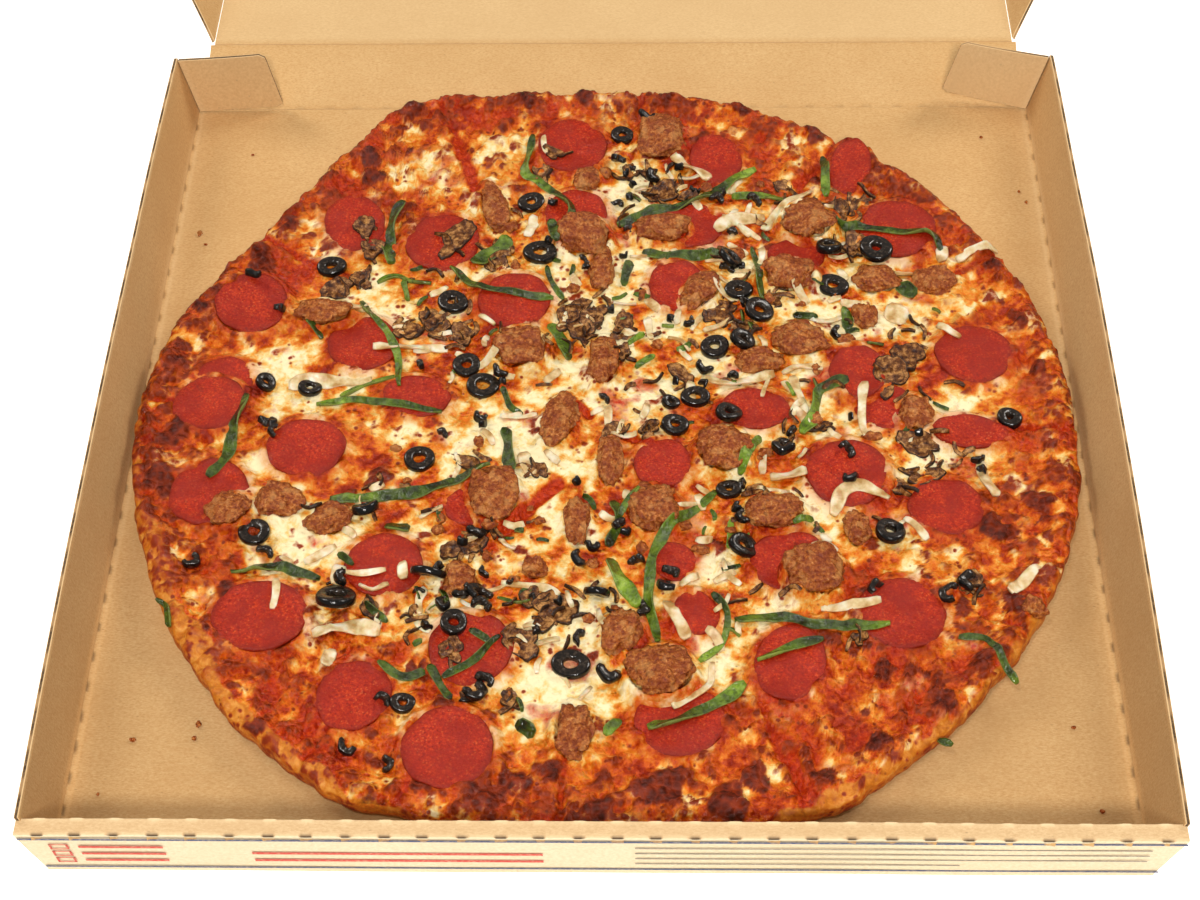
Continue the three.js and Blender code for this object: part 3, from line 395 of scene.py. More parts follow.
def kraft_liner(name, base, dark, pale, roughness=0.85):
    """Recycled kraft linerboard, machine-made: dull, flecked with fibres, faint ribs from the
    flutes glued under it."""
    made, tree, place = start_material(name, roughness, Specular_IOR_Level=0.3)
    # fibres lie along the machine direction, about 1.6 mm by 0.7 mm
    fibre_place = add(tree, "ShaderNodeMapping", {"Vector": place, "Scale": (1.0, 2.4, 1.0)})
    fibre = add(tree, "ShaderNodeTexNoise", {"Vector": fibre_place.outputs[0],
                                             "Scale": 1 / (1.6 * MM), "Detail": 3.0,
                                             "Roughness": 0.65})
    cloud = add(tree, "ShaderNodeTexNoise", {"Vector": place, "Scale": 1 / (45 * MM),
                                             "Detail": 4.0, "Roughness": 0.6})
    base_colour = add(tree, "ShaderNodeValToRGB", {"Fac": fibre.outputs["Fac"]},
                      stops=[(0.25, dark), (0.5, base), (0.8, pale)])
    stain = add(tree, "ShaderNodeMapRange", {"Value": cloud.outputs["Fac"], "From Min": 0.38,
                                             "From Max": 0.7, "To Min": 0.0, "To Max": 0.38})
    # stray dark fibres in the recycled pulp, one every centimetre or so
    flecks = add(tree, "ShaderNodeTexVoronoi", {"Vector": fibre_place.outputs[0],
                                                "Scale": 1 / (9 * MM)})
    fleck = add(tree, "ShaderNodeMapRange", {"Value": flecks.outputs["Distance"],
                                             "From Min": 0.09, "From Max": 0.03,
                                             "To Max": 0.4})
    # wear_and_painted_light is 0.5 as made. Below that the board is paler: along some creases and
    # the walls' top edges, and as painted light over the lid and the tabs. Above it the board is
    # darker: painted shade inside the slits, along the back wall's creases and towards the front
    # of the floor.
    wear_and_painted_light = add(tree, "ShaderNodeAttribute", attribute_name="wear_and_painted_light")
    darker = add(tree, "ShaderNodeMapRange", {"Value": wear_and_painted_light.outputs["Fac"], "From Min": 0.5,
                                              "From Max": 1.0})
    paler = add(tree, "ShaderNodeMapRange", {"Value": wear_and_painted_light.outputs["Fac"], "From Min": 0.5,
                                             "From Max": 0.0, "To Max": 0.75})
    # the last two coats are paler board, partly painted light, and painted shade
    colour = coated(tree, base_colour.outputs[0], (stain.outputs[0], tint(dark)),
                    (fleck.outputs[0], tint("#7a5a38")), (paler.outputs[0], tint("#f6dfb0")),
                    (darker.outputs[0], tint("#3a2a1c")))
    # the flutes run left to right
    ribs = add(tree, "ShaderNodeTexWave", {"Vector": place, "Scale": WAVE / (RIB_PITCH * MM),
                                           "Distortion": 0.6, "Detail": 1.0,
                                           "Detail Scale": 8.0},
               wave_type="BANDS", bands_direction="Y", wave_profile="SIN")
    relief = add(tree, "ShaderNodeMath", {0: ribs.outputs["Fac"], 1: 0.35,
                                          2: fibre.outputs["Fac"]}, operation="MULTIPLY_ADD")
    return finish_material(made, colour, relief.outputs[0], 0.35, 0.15)


def fluted_edge():
    """Cut edge of corrugated board: two pale liners with the shaded hollows of the flutes
    between them."""
    made, tree, place = start_material("raw_fluted_board_edge", 0.9, Specular_IOR_Level=0.2)
    flutes = add(tree, "ShaderNodeTexWave", {"Vector": place, "Scale": WAVE / (RIB_PITCH * MM),
                                             "Distortion": 0.8, "Detail": 1.0},
                 wave_type="BANDS", bands_direction="Y", wave_profile="SIN")
    hollow = add(tree, "ShaderNodeValToRGB", {"Fac": flutes.outputs["Fac"]},
                 stops=[(0.3, "#453528"), (0.62, "#6d5338"), (0.9, "#a5825a")])
    through = add(tree, "ShaderNodeAttribute", attribute_name="through")
    liners = add(tree, "ShaderNodeValToRGB", {"Fac": through.outputs["Fac"]},
                 stops=[(0.0, 1.0), (0.22, 1.0), (0.34, 0.0), (0.8, 0.0), (0.9, 1.0)])
    fibre = add(tree, "ShaderNodeTexNoise", {"Vector": place, "Scale": 1 / (1.2 * MM),
                                             "Detail": 2.0})
    torn = add(tree, "ShaderNodeMapRange", {"Value": fibre.outputs["Fac"], "From Min": 0.35,
                                            "From Max": 0.8, "To Max": 0.4})
    colour = coated(tree, hollow.outputs[0], (torn.outputs[0], tint("#b89366")),
                    (liners.outputs[0], tint("#dcb988")))
    return finish_material(made, colour, flutes.outputs["Fac"], 0.6, 0.6)


def flexo_ink(name, code):
    """Water-based flexo ink on board: flat, a little uneven where the flutes take less ink."""
    made, tree, place = start_material(name, 0.75)
    ribs = add(tree, "ShaderNodeTexNoise", {"Vector": place, "Scale": 1 / (1.4 * MM),
                                            "Detail": 2.0})
    share = add(tree, "ShaderNodeMapRange", {"Value": ribs.outputs["Fac"], "From Min": 0.45,
                                             "From Max": 0.8, "To Max": 0.35})
    colour = coated(tree, tint(code), (share.outputs[0], tint("#e9d6b0")))
    tree.links.new(colour, tree.nodes["Principled BSDF"].inputs["Base Color"])
    return made


def broken_up(tree, mask, pattern, spread, low=0.28, high=0.72):
    """A mask with its edge broken up by a noise."""
    shifted = add(tree, "ShaderNodeMath", {0: pattern, 1: 0.5}, operation="SUBTRACT")
    moved = add(tree, "ShaderNodeMath", {0: shifted.outputs[0], 1: spread, 2: mask},
                operation="MULTIPLY_ADD")
    return add(tree, "ShaderNodeMapRange", {"Value": moved.outputs[0], "From Min": low,
                                            "From Max": high}).outputs[0]


def baked_cheese():
    """Mozzarella over tomato sauce on yeast dough, baked: white where it pooled, orange where
    the fat ran out of it, brown on the blisters, golden dough at the edge; wet with oil."""
    made, tree, place = start_material("baked_mozzarella_and_dough", 0.34, ior=1.45,
                                       Specular_IOR_Level=0.33)
    bake = add(tree, "ShaderNodeSeparateColor", {
        0: add(tree, "ShaderNodeAttribute", attribute_name="bake").outputs["Color"]})
    crust = add(tree, "ShaderNodeSeparateColor", {
        0: add(tree, "ShaderNodeAttribute", attribute_name="crust").outputs["Color"]})
    cream, toast, sauce = bake.outputs[0], bake.outputs[1], bake.outputs[2]
    dough, char, oil = crust.outputs[0], crust.outputs[1], crust.outputs[2]
    curd = add(tree, "ShaderNodeTexNoise", {"Vector": place, "Scale": 1 / (5 * MM),
                                            "Detail": 5.0, "Roughness": 0.62,
                                            "Distortion": 0.5})
    fine = add(tree, "ShaderNodeTexNoise", {"Vector": place, "Scale": 1 / (1.9 * MM),
                                            "Detail": 4.0, "Roughness": 0.65})
    bubbles = add(tree, "ShaderNodeTexVoronoi", {"Vector": place, "Scale": 1 / (3.4 * MM)})
    # toasted freckles of 2 to 4 mm, in clusters
    spots = add(tree, "ShaderNodeTexVoronoi", {"Vector": place, "Scale": 1 / (4.6 * MM)})
    cluster = add(tree, "ShaderNodeTexNoise", {"Vector": place, "Scale": 1 / (16 * MM),
                                               "Detail": 2.0})
    size = add(tree, "ShaderNodeMapRange", {"Value": cluster.outputs["Fac"],
                                            "From Min": 0.38, "From Max": 0.6, "To Max": 0.46})
    within = add(tree, "ShaderNodeMath", {0: size.outputs[0], 1: spots.outputs["Distance"]},
                 operation="SUBTRACT")
    freckle = add(tree, "ShaderNodeMapRange", {"Value": within.outputs[0], "From Max": 0.32,
                                               "To Max": 0.58})
    # the browned crust of the cheese is a froth: dark on each bubble, orange between them
    froth = add(tree, "ShaderNodeMapRange", {"Value": bubbles.outputs["Distance"],
                                             "From Min": 0.3, "From Max": 0.75, "To Min": 1.0,
                                             "To Max": 0.66})
    toast = add(tree, "ShaderNodeMath", {0: toast, 1: froth.outputs[0]}, operation="MULTIPLY")
    toast = add(tree, "ShaderNodeMath", {0: toast.outputs[0], 1: freckle.outputs[0]},
                operation="MAXIMUM").outputs[0]
    # smooth where it pooled white, curdled where it browned
    calm = add(tree, "ShaderNodeMapRange", {"Value": cream, "From Min": 0.35, "From Max": 0.8,
                                            "To Min": 1.0, "To Max": 0.45}).outputs[0]
    # cheese by how much fat has run into it
    shifted = add(tree, "ShaderNodeMath", {0: curd.outputs["Fac"], 1: 0.5},
                  operation="SUBTRACT")
    coarse = add(tree, "ShaderNodeMath", {0: shifted.outputs[0], 1: 1.25, 2: cream},
                 operation="MULTIPLY_ADD")
    wiggle = add(tree, "ShaderNodeMath", {0: fine.outputs["Fac"], 1: 0.7, 2: -0.35},
                 operation="MULTIPLY_ADD")
    shade = add(tree, "ShaderNodeMath", {0: wiggle.outputs[0], 1: calm, 2: coarse.outputs[0]},
                operation="MULTIPLY_ADD")
    cheese = add(tree, "ShaderNodeValToRGB", {"Fac": shade.outputs[0]},
                 stops=[(0.0, "#8e1e03"), (0.18, "#b23604"), (0.36, "#d45c08"),
                        (0.52, "#e0801c"), (0.66, "#e4a142"), (0.8, "#eac77c"),
                        (1.0, "#f4e3b4")])
    red = add(tree, "ShaderNodeValToRGB", {"Fac": fine.outputs["Fac"]},
              stops=[(0.3, "#921a03"), (0.52, "#be3204"), (0.75, "#da580c")])
    brown = add(tree, "ShaderNodeValToRGB", {"Fac": toast},
                stops=[(0.25, "#b44a08"), (0.5, "#8a2c05"), (0.78, "#5e1a05"), (1.0, "#401204")])
    bread = add(tree, "ShaderNodeValToRGB", {"Fac": curd.outputs["Fac"]},
                stops=[(0.3, "#984a0c"), (0.5, "#c2721a"), (0.75, "#e2a24c")])
    sauced = coated(tree, cheese.outputs[0], (
        broken_up(tree, sauce, curd.outputs["Fac"], 0.9, 0.34, 0.8), red.outputs[0]))
    greasy = add(tree, "ShaderNodeMath", {0: oil, 1: 0.6}, operation="MULTIPLY")
    oiled = add(tree, "ShaderNodeMix", {0: greasy.outputs[0], 6: sauced, 7: tint("#d2601c")},
                data_type="RGBA", blend_type="MULTIPLY")
    # scorched crumbs and ground pepper, specks about a millimetre across
    specks = add(tree, "ShaderNodeTexVoronoi", {"Vector": place, "Scale": 1 / (6 * MM)})
    speck = add(tree, "ShaderNodeMapRange", {"Value": specks.outputs["Distance"],
                                             "From Min": 0.12, "From Max": 0.06,
                                             "To Max": 0.5})
    colour = coated(
        tree, oiled.outputs[2], (broken_up(tree, dough, fine.outputs["Fac"], 0.6),
                                 bread.outputs[0]),
        (broken_up(tree, toast, fine.outputs["Fac"], 0.5, 0.2, 0.5), brown.outputs[0]),
        (broken_up(tree, char, fine.outputs["Fac"], 0.6), tint("#1d0e08")),
        (speck.outputs[0], tint("#6a2c0c")))
    dull = add(tree, "ShaderNodeMath", {0: dough, 1: 0.32, 2: 0.14}, operation="MULTIPLY_ADD")
    uneven = add(tree, "ShaderNodeMath", {0: curd.outputs["Fac"], 1: 0.2, 2: dull.outputs[0]},
                 operation="MULTIPLY_ADD")
    tree.links.new(uneven.outputs[0], tree.nodes["Principled BSDF"].inputs["Roughness"])
    relief = add(tree, "ShaderNodeMath", {0: fine.outputs["Fac"], 1: 0.55,
                                          2: curd.outputs["Fac"]}, operation="MULTIPLY_ADD")
    bubbly = add(tree, "ShaderNodeMath", {0: bubbles.outputs["Distance"], 1: -1.1,
                                          2: relief.outputs[0]}, operation="MULTIPLY_ADD")
    firm = add(tree, "ShaderNodeMath", {0: dough, 1: -0.65, 2: calm}, operation="MULTIPLY_ADD",
               use_clamp=True)
    return finish_material(made, colour, bubbly.outputs[0], firm.outputs[0], 2.2)


def cured_meat():
    """Sliced pepperoni, cooked: orange-red, marbled with specks of fat, shiny with its own oil,
    and darker where its edge crisped."""
    made, tree, place = start_material("cured_pepperoni_slice", 0.2, ior=1.45,
                                       Specular_IOR_Level=0.3)
    marble = add(tree, "ShaderNodeTexVoronoi", {"Vector": place, "Scale": 1 / (1.9 * MM)})
    speck = add(tree, "ShaderNodeTexNoise", {"Vector": place, "Scale": 1 / (1.3 * MM),
                                             "Detail": 4.0, "Roughness": 0.7})
    blotch = add(tree, "ShaderNodeTexNoise", {"Vector": place, "Scale": 1 / (11 * MM),
                                              "Detail": 3.0})
    meat = add(tree, "ShaderNodeValToRGB", {"Fac": speck.outputs["Fac"]},
               stops=[(0.32, "#760f03"), (0.47, "#a42005"), (0.58, "#ba2e08"), (0.7, "#d65018")])
    fat = add(tree, "ShaderNodeMapRange", {"Value": marble.outputs["Distance"], "From Min": 0.3,
                                           "From Max": 0.1, "To Max": 0.6})
    shade = add(tree, "ShaderNodeMapRange", {"Value": blotch.outputs["Fac"], "From Min": 0.42,
                                             "From Max": 0.62, "To Max": 0.65})
    edge = add(tree, "ShaderNodeAttribute", attribute_name="edge")
    crisp = add(tree, "ShaderNodeMapRange", {"Value": edge.outputs["Fac"], "From Min": 0.8,
                                             "From Max": 1.0, "To Max": 0.6})
    colour = coated(tree, meat.outputs[0], (fat.outputs[0], tint("#d8682e")),
                    (shade.outputs[0], tint("#8a1604")), (crisp.outputs[0], tint("#6e1606")))
    rough = add(tree, "ShaderNodeMath", {0: blotch.outputs["Fac"], 1: 2.2,
                                         2: speck.outputs["Fac"]}, operation="MULTIPLY_ADD")
    return finish_material(made, colour, rough.outputs[0], 0.8, 0.9)


def fried_sausage():
    """Crumbled pork sausage, fried then baked: coarse brown mince with painted shade in its
    cracks, and redder seared patches and paler fatty ones."""
    made, tree, place = start_material("browned_sausage_crumble", 0.27, ior=1.45,
                                       Specular_IOR_Level=0.33)
    mince = add(tree, "ShaderNodeTexVoronoi", {"Vector": place, "Scale": 1 / (2.1 * MM)})
    grain = add(tree, "ShaderNodeTexNoise", {"Vector": place, "Scale": 1 / (1.6 * MM),
                                             "Detail": 4.0, "Roughness": 0.65})
    blotch = add(tree, "ShaderNodeTexNoise", {"Vector": place, "Scale": 1 / (5.5 * MM),
                                              "Detail": 3.0})
    meat = add(tree, "ShaderNodeValToRGB", {"Fac": grain.outputs["Fac"]},
               stops=[(0.34, "#64260c"), (0.47, "#9a4c1a"), (0.58, "#b96a2a"), (0.7, "#d89a54")])
    # painted shade in the cracks, where the cells of the mince meet and its relief is lowest
    crack_shade = add(tree, "ShaderNodeMapRange", {"Value": mince.outputs["Distance"], "From Min": 0.45,
                                           "From Max": 0.9, "To Max": 0.35})
    seared = add(tree, "ShaderNodeMapRange", {"Value": blotch.outputs["Fac"], "From Min": 0.48,
                                              "From Max": 0.64, "To Max": 0.55})
    fatty = add(tree, "ShaderNodeMapRange", {"Value": blotch.outputs["Fac"], "From Min": 0.46,
                                             "From Max": 0.34, "To Max": 0.45})
    colour = coated(tree, meat.outputs[0], (crack_shade.outputs[0], tint("#5a240a")),
                    (seared.outputs[0], tint("#7c2c12")), (fatty.outputs[0], tint("#cc9252")))
    relief = add(tree, "ShaderNodeMath", {0: mince.outputs["Distance"], 1: -0.4,
                                          2: grain.outputs["Fac"]}, operation="MULTIPLY_ADD")
    return finish_material(made, colour, relief.outputs[0], 1.0, 1.3)


def black_olive():
    """Ripe olive, brined and sliced: near-black wet skin and a browner, paler cut face."""
    made, tree, place = start_material("brined_black_olive", 0.16, ior=1.45)
    edge = add(tree, "ShaderNodeAttribute", attribute_name="edge")
    grain = add(tree, "ShaderNodeTexNoise", {"Vector": place, "Scale": 1 / (1.6 * MM),
                                             "Detail": 3.0})
    flesh = add(tree, "ShaderNodeValToRGB", {"Fac": grain.outputs["Fac"]},
                stops=[(0.3, "#17130f"), (0.55, "#271f19"), (0.8, "#4d4238")])
    skin = add(tree, "ShaderNodeMapRange", {"Value": edge.outputs["Fac"], "From Min": 0.55,
                                            "From Max": 0.9})
    colour = coated(tree, flesh.outputs[0], (skin.outputs[0], tint("#0f0c0a")))
    return finish_material(made, colour, grain.outputs["Fac"], 0.4, 0.4)


def green_pepper():
    """Roasted green pepper: waxy skin from nearly black to fresh green, wrinkled and scorched,
    with paler flesh along its cut sides."""
    made, tree, place = start_material("roasted_green_pepper", 0.13, ior=1.45)
    edge = add(tree, "ShaderNodeAttribute", attribute_name="edge")
    blotch = add(tree, "ShaderNodeTexNoise", {"Vector": place, "Scale": 1 / (7 * MM),
                                              "Detail": 4.0, "Roughness": 0.6})
    tone = add(tree, "ShaderNodeTexNoise", {"Vector": place, "Scale": 1 / (55 * MM),
                                            "Detail": 1.0})
    skin = add(tree, "ShaderNodeValToRGB", {"Fac": blotch.outputs["Fac"]},
               stops=[(0.34, "#1a1e06"), (0.5, "#34440c"), (0.68, "#586c1c")])
    fresh = add(tree, "ShaderNodeValToRGB", {"Fac": blotch.outputs["Fac"]},
                stops=[(0.32, "#42540c"), (0.5, "#68851a"), (0.72, "#9cb444")])
    lighter = add(tree, "ShaderNodeMapRange", {"Value": tone.outputs["Fac"], "From Min": 0.53,
                                               "From Max": 0.68})
    pale = add(tree, "ShaderNodeMapRange", {"Value": edge.outputs["Fac"], "From Min": 0.6,
                                            "From Max": 1.0, "To Max": 0.55})
    wrinkle = add(tree, "ShaderNodeTexNoise", {"Vector": place, "Scale": 1 / (2.6 * MM),
                                               "Detail": 3.0, "Roughness": 0.6})
    scorch = add(tree, "ShaderNodeMapRange", {"Value": wrinkle.outputs["Fac"], "From Min": 0.52,
                                              "From Max": 0.68, "To Max": 0.6})
    colour = coated(tree, skin.outputs[0], (lighter.outputs[0], fresh.outputs[0]),
                    (pale.outputs[0], tint("#848f45")), (scorch.outputs[0], tint("#1d1c0b")))
    relief = add(tree, "ShaderNodeMath", {0: wrinkle.outputs["Fac"], 1: 0.6,
                                          2: blotch.outputs["Fac"]}, operation="MULTIPLY_ADD")
    return finish_material(made, colour, relief.outputs[0], 1.0, 1.8)


def cooked_onion():
    """White onion softened by the heat: milky, lit from within, browned at its edges."""
    made, tree, place = start_material("softened_white_onion", 0.3, ior=1.45,
                                       Subsurface_Weight=0.3, Subsurface_Scale=2 * MM)
    shade = add(tree, "ShaderNodeTexNoise", {"Vector": place, "Scale": 1 / (6 * MM),
                                             "Detail": 3.0})
    milky = add(tree, "ShaderNodeValToRGB", {"Fac": shade.outputs["Fac"]},
                stops=[(0.34, "#b08448"), (0.5, "#d6bd8c"), (0.68, "#eadfc6")])
    edge = add(tree, "ShaderNodeAttribute", attribute_name="edge")
    browned = add(tree, "ShaderNodeMapRange", {"Value": edge.outputs["Fac"], "From Min": 0.7,
                                               "From Max": 1.0, "To Max": 0.4})
    colour = coated(tree, milky.outputs[0], (browned.outputs[0], tint("#a8763a")))
    return finish_material(made, colour, shade.outputs["Fac"], 0.5, 0.8)


def cooked_mushroom():
    """Sliced button mushroom, shrunk and browned: tan flesh with dark gills and rim."""
    made, tree, place = start_material("browned_button_mushroom", 0.24, ior=1.45,
                                       Specular_IOR_Level=0.33)
    edge = add(tree, "ShaderNodeAttribute", attribute_name="edge")
    grain = add(tree, "ShaderNodeTexNoise", {"Vector": place, "Scale": 1 / (3.2 * MM),
                                             "Detail": 4.0, "Roughness": 0.65})
    flesh = add(tree, "ShaderNodeValToRGB", {"Fac": grain.outputs["Fac"]},
                stops=[(0.36, "#2e1206"), (0.5, "#6b3d18"), (0.66, "#bc874a")])
    dark = add(tree, "ShaderNodeMapRange", {"Value": edge.outputs["Fac"], "From Min": 0.5,
                                            "From Max": 0.9, "To Max": 0.9})
    colour = coated(tree, flesh.outputs[0], (dark.outputs[0], tint("#24140b")))
    return finish_material(made, colour, grain.outputs["Fac"], 0.9, 1.2)


# ---------------------------------------------------------------- making pieces
def piece(name, vertices, faces, materials, body, indexes=None, attributes=None,
          colours=None, sharp=None):
    """A mesh object from points in millimetres, riding on a body."""
    mesh = bpy.data.meshes.new(name)
    mesh.from_pydata((np.asarray(vertices, float) * MM).tolist(), [], faces)
    for made in materials:
        mesh.materials.append(made)
    if indexes is not None:
        mesh.polygons.foreach_set("material_index", np.asarray(indexes, np.int32))
    mesh.polygons.foreach_set("use_smooth", np.ones(len(mesh.polygons), bool))
    for key, values in (attributes or {}).items():
        layer = mesh.attributes.new(key, "FLOAT", "POINT")
        layer.data.foreach_set("value", np.asarray(values, np.float32).ravel())
    for key, values in (colours or {}).items():
        layer = mesh.attributes.new(key, "FLOAT_COLOR", "POINT")
        full = np.ones((len(mesh.vertices), 4), np.float32)
        full[:, :3] = values
        layer.data.foreach_set("color", full.ravel())
    if sharp is not None:
        mesh.set_sharp_from_angle(angle=math.radians(sharp))
    mesh.update()
    made = bpy.data.objects.new(name, mesh)
    bpy.context.scene.collection.objects.link(made)
    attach(made, body)
    return made


def board(name, part, grid, inward, materials, wear_and_painted_light, skins=None):
    """Corrugated board bent to a grid of points on one face; inward says which way that face
    looks. Its thickness goes the other way. The materials are that face's, the other face's and
    the cut edge's; skins gives each row of the first face a material of its own. It rides on
    the body, and stands for the node, that part names."""
    grid = np.asarray(grid, float)
    rows, columns = grid.shape[:2]
    normal = np.cross(np.gradient(grid, axis=0), np.gradient(grid, axis=1))
    normal /= np.linalg.norm(normal, axis=2, keepdims=True)
    middle = normal[rows // 2, columns // 2]
    flip = np.dot(middle, inward) < 0
    if flip:
        normal = -normal
    back = grid - normal * BOARD
    vertices = np.concatenate([grid.reshape(-1, 3), back.reshape(-1, 3)])
    index = np.arange(rows * columns).reshape(rows, columns)
    a, b, c, d = index[:-1, :-1], index[1:, :-1], index[1:, 1:], index[:-1, 1:]
    front_faces = np.stack([a, b, c, d], -1).reshape(-1, 4)
    if flip:
        front_faces = front_faces[:, ::-1]
    back_faces = front_faces[:, ::-1] + rows * columns
    loop = np.concatenate([index[0, :-1], index[:-1, -1], index[-1, :0:-1], index[:0:-1, 0]])
    after = np.roll(loop, -1)
    rim = np.stack([loop, after, after + rows * columns, loop + rows * columns], -1)
    if flip:
        rim = rim[:, ::-1]
    faces = np.concatenate([front_faces, back_faces, rim])
    skins = np.zeros(rows - 1, int) if skins is None else skins
    indexes = list(np.repeat(skins, columns - 1)) + [1] * len(back_faces) + [2] * len(rim)
    worn_and_painted_light = np.concatenate([wear_and_painted_light.ravel(), np.full(rows * columns, 0.5)])
    through = np.repeat([0.0, 1.0], rows * columns)
    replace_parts(piece(name, vertices, faces.tolist(), materials, part, indexes,
                      {"wear_and_painted_light": worn_and_painted_light, "through": through}, sharp=42), part)


def dashes(along, start=0.0):
    """1 on a perforation, 0 between."""
    phase = np.mod(along - start + SLIT_LENGTH / 2, SLIT_PITCH)
    return smooth(0, 0.8, phase) * (1 - smooth(SLIT_LENGTH, SLIT_LENGTH + 0.8, phase))


# ---------------------------------------------------------------- the box
def tray_shell(materials):
    """Floor and side walls, one bent sheet, slit along both creases."""
    wall = np.concatenate([np.linspace(WALL_SLANT, 3, 16), [2.2, 1.5, 0.9, 0.45]])
    inset = np.concatenate([[0.2, 0.7, 1.4, 2.2], np.linspace(3.5, FLOOR_HALF_WIDTH, 42)[:-1]])
    half = [(up, 0.0) for up in wall] + [(0.0, across) for across in inset]
    # (side, distance up the wall, distance in on the floor)
    profile = [(-1, *spot) for spot in half] + [(0, 0.0, FLOOR_HALF_WIDTH)] \
        + [(1, *spot) for spot in half[::-1]]
    rows = 292
    share = np.linspace(0, 1, rows)
    grid = np.zeros((rows, len(profile), 3))
    wear_and_painted_light = np.full((rows, len(profile)), 0.5)
    for k, (side, up, across) in enumerate(profile):
        on_wall = up > 0
        end = FLOOR_BACK - (0.5 if on_wall else 0.15)
        y = FLOOR_FRONT + BOARD + 1 + share * (end - FLOOR_FRONT - BOARD - 1)
        along = 2 * share - 1
        rise = up / WALL_SLANT
        lean = math.radians(SPLAY[side or 1])
        bow = WALL_BOW * rise * (1 - along ** 2) + 0.5 * rise * lumps(y, up, 90, 5 + side)
        corner = math.exp(-(up + across) / 0.8)     # rounds the crease
        x = side * (FLOOR_HALF_WIDTH - across + up * math.sin(lean) + bow)
        z = BOARD + up * math.cos(lean) + 0.35 * corner
        if not on_wall:
            z = z + 0.25 * smooth(4, 40, across) * (1 + lumps(side * across, y, 70, 11))
        slit = dashes(y, 3.0 * side) * math.exp(-((up + across) / 1.0) ** 2)
        grid[:, k] = np.stack([x * np.ones(rows), y, z - 0.5 * slit], -1)
        # painted shade: darker towards the front of the floor and inside each slit; paler along
        # the crease between floor and wall
        wear_and_painted_light[:, k] = 0.5 + 0.08 * smooth(60, -160, y) + 0.22 * slit \
            - 0.12 * math.exp(-((up + across - 2) / 1.4) ** 2)
        # paler along the top edge of each wall
        if up > WALL_SLANT - 1.6:
            wear_and_painted_light[:, k] -= 0.2 + 0.1 * lumps(y, 0 * y, 7, 3)
    board("tray_board", "tray", grid, (0, 0, 1), materials, wear_and_painted_light)


def front_wall(materials):
    """The rolled-over front wall: printed face, perforated ledge and inner wall."""
    outer_top = FLOOR_FRONT - FRONT_LEAN
    inner_top = outer_top + LEDGE
    corners = [(FLOOR_FRONT, 0.05), (outer_top, FRONT_HEIGHT), (inner_top, FRONT_HEIGHT),
               (inner_top + 0.8, BOARD + 0.1)]
    # each stretch of the profile, with small steps round the creases
    line = []
    for (ya, za), (yb, zb) in zip(corners, corners[1:]):
        length = math.hypot(yb - ya, zb - za)
        steps = np.unique(np.concatenate([
            np.array([0, 0.5, 1.0, 1.6, 2.4]) / length, np.linspace(0.1, 0.9, 9),
            1 - np.array([2.4, 1.6, 1.0, 0.5]) / length]))
        line += [(ya + (yb - ya) * t, za + (zb - za) * t) for t in steps]
    line.append(corners[-1])
    line = np.array(line)
    # round the two creases over the ledge
    for _ in range(2):
        line[1:-1] = 0.25 * line[:-2] + 0.5 * line[1:-1] + 0.25 * line[2:]
    columns = 372
    share = np.linspace(-1, 1, columns)
    grid = np.zeros((len(line), columns, 3))
    wear_and_painted_light = np.full((len(line), columns), 0.5)
    for k, (y, z) in enumerate(line):
        left, right = [FLOOR_HALF_WIDTH + BOARD - 0.2 + max(z - BOARD, 0) * math.tan(
            math.radians(SPLAY[side])) for side in (-1, 1)]
        x = np.where(share < 0, share * left, share * right)
        outer = math.exp(-(math.hypot(y - outer_top, z - FRONT_HEIGHT) / 1.3) ** 2)
        cut = math.exp(-(math.hypot(y - outer_top - 0.2, z - FRONT_HEIGHT) / 0.75) ** 2)
        inner = math.exp(-(math.hypot(y - inner_top, z - FRONT_HEIGHT) / 1.5) ** 2)
        slit = dashes(x, 8.5)
        ripple = 0.25 * lumps(x, 0 * x + z, 60, 21)
        sag = 0.5 * smooth(20, 36, z) * lumps(x, 0 * x, 120, 8)
        dip = cut * slit * 1.1 - inner * slit * 0.5
        grid[k] = np.stack([x, y + ripple + sag * (1 if y < inner_top - 4 else 0.6),
                            z - dip], -1)
        # painted shade in the slits cut across the outer crease; paler along both creases, the
        # inner one most by its slits
        wear_and_painted_light[k] = (0.5 + 0.5 * cut * slit - 0.26 * outer * (1 - slit)
                   - 0.14 * inner - 0.3 * inner * slit)
    printed = (line[:-1, 0] < FLOOR_FRONT + 0.3) & (line[:-1, 1] < FRONT_HEIGHT - 0.2)
    board("front_wall_board", "tray", grid, (0, 0, 1), materials, wear_and_painted_light,
          np.where(printed, 3, 0))


